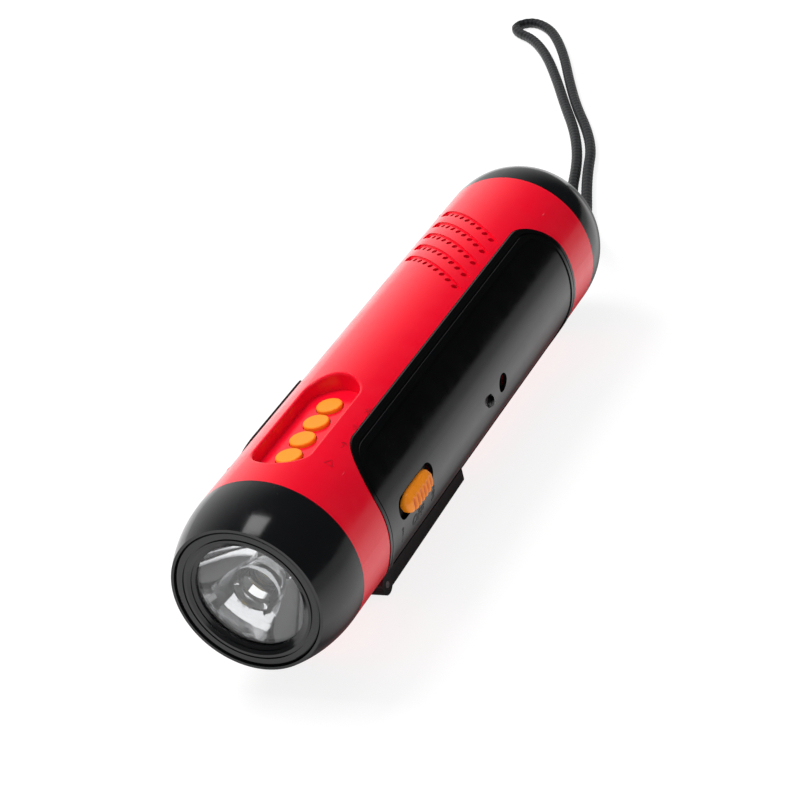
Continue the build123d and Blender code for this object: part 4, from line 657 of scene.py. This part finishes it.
for place, word_text in enumerate(WORDS):
    word_y = SWITCH_Y + (place - 1) * POSITION_STEP
    panel_word(f"switch_word_{place + 1}", word_text, word_y)
    bent_outline(
        f"switch_dot_{place + 1}",
        [disc(0.0, 0.0, DOT_RADIUS)],
        FIELD_RADIUS,
        word_y,
        DOT_ANGLE,
        "torch_body",
        PRINT_AND_SHADE_BLACK,
    )

# ---- switch thumb --------------------------------------------------------------------------------

THUMB_HALF_LENGTH = 8.0 * MM
THUMB_HALF_WIDTH = 3.25 * MM
THUMB_RISE = 2.3 * MM
THUMB_SUNK = 1.2 * MM
RIB_PITCH = 2.1 * MM
RIB_DEPTH = 0.85 * MM
RIB_COUNT = 6
SIDE_RIB_SHARE = 0.8
SECTION_POWER = 0.6
THUMB_END_SHARE = 0.9995
THUMB_ROWS = 220
THUMB_COLUMNS = 80
SLOT_SHADE_PLATE_THICKNESS = 1.1 * MM


def rounded_wave(value, power):
    """Sign of the value times its size to a power, which squares off a circle."""
    return np.sign(value) * np.abs(value) ** power


def make_thumb():
    """Ribbed thumb of the switch, a rounded section carried along the torch.

    Section: b = width cos^0.6 t, h = rise sin^0.6 t, with half the rise at the upper edge.  At the
    share a of the half length the width closes as (1 - a^4.5)^(1/2.6) and the height as
    (1 - a^6)^(1/2).  Ribs: the outer face and the lower side are drawn in by
    depth (1 - cos(2 pi y / pitch)) / 2, with y along the torch from the thumb's middle.
    """
    share = THUMB_END_SHARE * np.sin(np.linspace(-np.pi / 2, np.pi / 2, THUMB_ROWS))[:, None]
    turn = np.linspace(0.0, 2 * np.pi, THUMB_COLUMNS, endpoint=False)[None, :]
    side = rounded_wave(np.cos(turn), SECTION_POWER)
    out = rounded_wave(np.sin(turn), SECTION_POWER)
    width = THUMB_HALF_WIDTH * (1 - np.abs(share) ** 4.5) ** (1 / 2.6)
    height = THUMB_RISE * (1 - np.abs(share) ** 6.0) ** 0.5
    slope = 0.5 + 0.5 * eased(side, -1.0, -0.3)
    along = THUMB_HALF_LENGTH * share
    ribs = 0.5 - 0.5 * np.cos(2 * np.pi * along / RIB_PITCH)
    ribs = ribs * (np.abs(along) < RIB_COUNT * RIB_PITCH / 2)
    ribbed = ribs * eased(side, -0.6, -0.1) * eased(out, -0.2, 0.3)
    across = width * side - RIB_DEPTH * ribbed * SIDE_RIB_SHARE * np.clip(side, 0.0, 1.0)
    lift = np.where(out > 0, height * slope * out, THUMB_SUNK * out)
    lift = lift - RIB_DEPTH * ribbed * np.clip(out, 0, 1)
    points = np.stack(
        [FIELD_RADIUS + lift, np.broadcast_to(SWITCH_Y + along, lift.shape), AXIS_Z - across], -1
    )
    faces = tube_faces(THUMB_ROWS, THUMB_COLUMNS)
    thumb = new_mesh(
        "ribbed_switch_thumb", points, faces, "switch_slider", ORANGE_WITH_GROOVE_SHADE
    )
    # The rib mask also goes to the material, which paints shade into the grooves with it.
    point_values(thumb, "groove_shade", ribbed)
    outward(thumb)
    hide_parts("switch_slider")


def make_slot_shade_plate():
    """Painted shade: a black plate behind the slot stands for the shade inside it, at both ends of
    the thumb; a plate on a^6 + b^6 = 1, with its rims drawn in.
    """
    turn = np.linspace(0.0, 2 * np.pi, 64, endpoint=False)
    half_length = (slider_high.y - slider_low.y) / 2
    half_width = (slider_high.z - slider_low.z) / 2
    rings = [(0.96, 0.0), (1.0, 0.2), (1.0, 0.8), (0.96, 1.0)]
    points = [
        np.stack(
            [
                np.full(turn.shape, slider_low.x + rise * SLOT_SHADE_PLATE_THICKNESS),
                SWITCH_Y + scale * half_length * rounded_wave(np.cos(turn), 1 / 3),
                AXIS_Z + scale * half_width * rounded_wave(np.sin(turn), 1 / 3),
            ],
            -1,
        )
        for scale, rise in rings
    ]
    faces = tube_faces(len(rings), turn.size)
    # Painted shade: this black plate fills the slot where only shade would show.
    slot_shade_plate = new_mesh(
        "switch_slot_painted_shade", points, faces, "switch_slider", PRINT_AND_SHADE_BLACK, smooth=False
    )
    outward(slot_shade_plate)


make_thumb()
make_slot_shade_plate()

# ---- floor, light and camera -------------------------------------------------------------------

GLOW_DIRECTION = (-0.72, 0.66, 0.2)
GLOW_FROM = 0.48
GLOW_STRENGTH = 0.85
FRONT_DIRECTION = (0.1, -0.9, 0.35)
FRONT_FROM = 0.3
FRONT_SEEN = 0.12
ROOM_SEEN = (0.012, 0.0125, 0.013)
ROOM_LIGHT = (0.34, 0.345, 0.35)


def maths(tree, operation, first, second=None):
    """Math node on sockets or plain numbers."""
    node = tree.nodes.new("ShaderNodeMath")
    node.operation = operation
    for socket, value in zip(node.inputs, (first, second)):
        if isinstance(value, bpy.types.NodeSocket):
            tree.links.new(value, socket)
        elif value is not None:
            socket.default_value = value
    return node.outputs[0]


def studio_world():
    """White to the camera, grey to the shading, dark in reflections but for two glows.

    The one at the rear left rises as the square of how far the ray's direction nears its own.
    The weak one in front rises evenly.
    """
    world = bpy.data.worlds.new("studio")
    world.use_nodes = True
    tree = world.node_tree
    background = tree.nodes["Background"]
    rays = tree.nodes.new("ShaderNodeLightPath").outputs
    direction = tree.nodes.new("ShaderNodeTexCoord").outputs["Generated"]

    def nearness(aim, low):
        """How far the ray's direction nears aim, from 0 at the cosine low to 1 at aim itself."""
        product = tree.nodes.new("ShaderNodeVectorMath")
        product.operation = "DOT_PRODUCT"
        tree.links.new(direction, product.inputs[0])
        product.inputs[1].default_value = Vector(aim).normalized()
        return map_range(tree, product.outputs["Value"], low, 1.0, 0.0, 1.0)

    rise = nearness(GLOW_DIRECTION, GLOW_FROM)
    front = mix_colour(tree, nearness(FRONT_DIRECTION, FRONT_FROM), ROOM_SEEN, (FRONT_SEEN,) * 3)
    reflected = mix_colour(tree, maths(tree, "MULTIPLY", rise, rise), front, (GLOW_STRENGTH,) * 3)
    shading = mix_colour(tree, rays["Is Diffuse Ray"], reflected, ROOM_LIGHT)
    colour = mix_colour(tree, rays["Is Camera Ray"], shading, (1.0, 1.0, 1.0))
    tree.links.new(colour, background.inputs["Color"])
    bpy.context.scene.world = world


FLOOR_HALF = 3.0
FLOOR_TONE = 0.2
FLOOR_FILL = 0.83
FLOOR_SHADE_NEAR = 0.018
FLOOR_SHADE_FAR = 0.036
FLOOR_BRIGHT = 0.86
FLOOR_DARK = 0.03
FLOOR_CLOUD = 0.02
FLOOR_CLOUD_SCALE = 3.0
FADE_FROM = 0.05
FADE_TO = 0.15
FADED = 0.25
HEAD_SHADE_Y = -0.09


def studio_floor():
    """Wide pale floor on which the torch lies.

    Reflections see its glow painted: a painted shadow beneath the torch, bright beside it, and dim
    again far to the right.
    """
    material, tree, shader = blank_material("studio_floor")
    place = tree.nodes.new("ShaderNodeTexCoord").outputs["Object"]
    cloud = noise(tree, place, FLOOR_CLOUD_SCALE)
    tone = mix_colour(tree, cloud, (FLOOR_TONE,) * 3, (FLOOR_TONE + FLOOR_CLOUD,) * 3)
    tree.links.new(tone, shader.inputs["Base Color"])
    shader.inputs["Roughness"].default_value = 0.9
    shader.inputs["Specular IOR Level"].default_value = 0.0
    shader.inputs["Emission Color"].default_value = (1.0, 1.0, 1.0, 1.0)
    axes = tree.nodes.new("ShaderNodeSeparateXYZ")
    tree.links.new(place, axes.inputs[0])
    # Painted shadow in reflections: the floor's glow drops to FLOOR_DARK beneath the torch, except
    # in front of its head, and dims far to the right.
    across = maths(tree, "ABSOLUTE", axes.outputs["X"])
    ahead = maths(tree, "SUBTRACT", HEAD_SHADE_Y, axes.outputs["Y"])
    away = maths(tree, "MAXIMUM", across, ahead)
    beside = map_range(tree, away, FLOOR_SHADE_NEAR, FLOOR_SHADE_FAR, FLOOR_DARK, FLOOR_BRIGHT)
    fading = map_range(tree, axes.outputs["X"], FADE_FROM, FADE_TO, 1.0, FADED)
    mirrored = maths(tree, "MULTIPLY", beside, fading)
    rays = tree.nodes.new("ShaderNodeLightPath").outputs
    glossy = maths(tree, "MAXIMUM", rays["Is Glossy Ray"], rays["Is Transmission Ray"])
    strength = map_range(tree, glossy, 0.0, 1.0, FLOOR_FILL, mirrored)
    tree.links.new(strength, shader.inputs["Emission Strength"])
    corners = [(x * FLOOR_HALF, y * FLOOR_HALF, 0.0) for x, y in SQUARE]
    mesh = bpy.data.meshes.new("studio_floor")
    mesh.from_pydata(corners, [], [(0, 1, 2, 3)])
    mesh.materials.append(material)
    add_object("studio_floor", mesh)


LAMP_AIM = Vector((0.0, 0.0, 0.03))


def soft_box(name, direction, distance, width, height, power, mirrored=False):
    """Rectangular lamp in that direction from LAMP_AIM, facing it; mirrored: shows in gloss."""
    lamp = bpy.data.lights.new(name, "AREA")
    lamp.shape = "RECTANGLE"
    lamp.size = width
    lamp.size_y = height
    lamp.energy = power
    holder = add_object(name, lamp)
    away = Vector(direction).normalized()
    holder.location = LAMP_AIM + distance * away
    holder.rotation_euler = away.to_track_quat("Z", "Y").to_euler()
    holder.visible_glossy = mirrored
    holder.visible_transmission = False


def studio_lights():
    """Key from the upper left, a small box overhead that shows in gloss, and a weak front fill."""
    soft_box("key_box", (-0.5, 0.12, 0.86), 1.1, 0.6, 0.6, 12.5)
    soft_box("head_box", (0.0, 0.12, 0.99), 1.2, 0.42, 0.3, 1.7, mirrored=True)
    soft_box("front_fill", (0.35, -1.0, 0.55), 1.4, 0.7, 0.4, 3.0)


CAMERA_PLACE = (0.34435, -0.596125, 0.38733)
CAMERA_RIGHT = Vector((0.8939, 0.3941, -0.2135))
CAMERA_BACK = Vector((0.4477, -0.7644, 0.4641))
CAMERA_LENS = 122.67
SENSOR_WIDTH = 36.0
CAMERA_NEAR = 0.01


def photo_camera():
    """Camera at the photograph's place, with its roll and lens."""
    camera = bpy.data.cameras.new("photo_camera")
    camera.sensor_fit = "HORIZONTAL"
    camera.sensor_width = SENSOR_WIDTH
    camera.lens = CAMERA_LENS
    camera.clip_start = CAMERA_NEAR
    holder = add_object("photo_camera", camera)
    back = CAMERA_BACK.normalized()
    up = back.cross(CAMERA_RIGHT).normalized()
    right = up.cross(back)
    turned = Matrix((right, up, back)).transposed().to_4x4()
    holder.matrix_world = Matrix.Translation(CAMERA_PLACE) @ turned
    bpy.context.scene.camera = holder


studio_world()
studio_floor()
studio_lights()
photo_camera()
bpy.context.scene.view_settings.view_transform = "Standard"
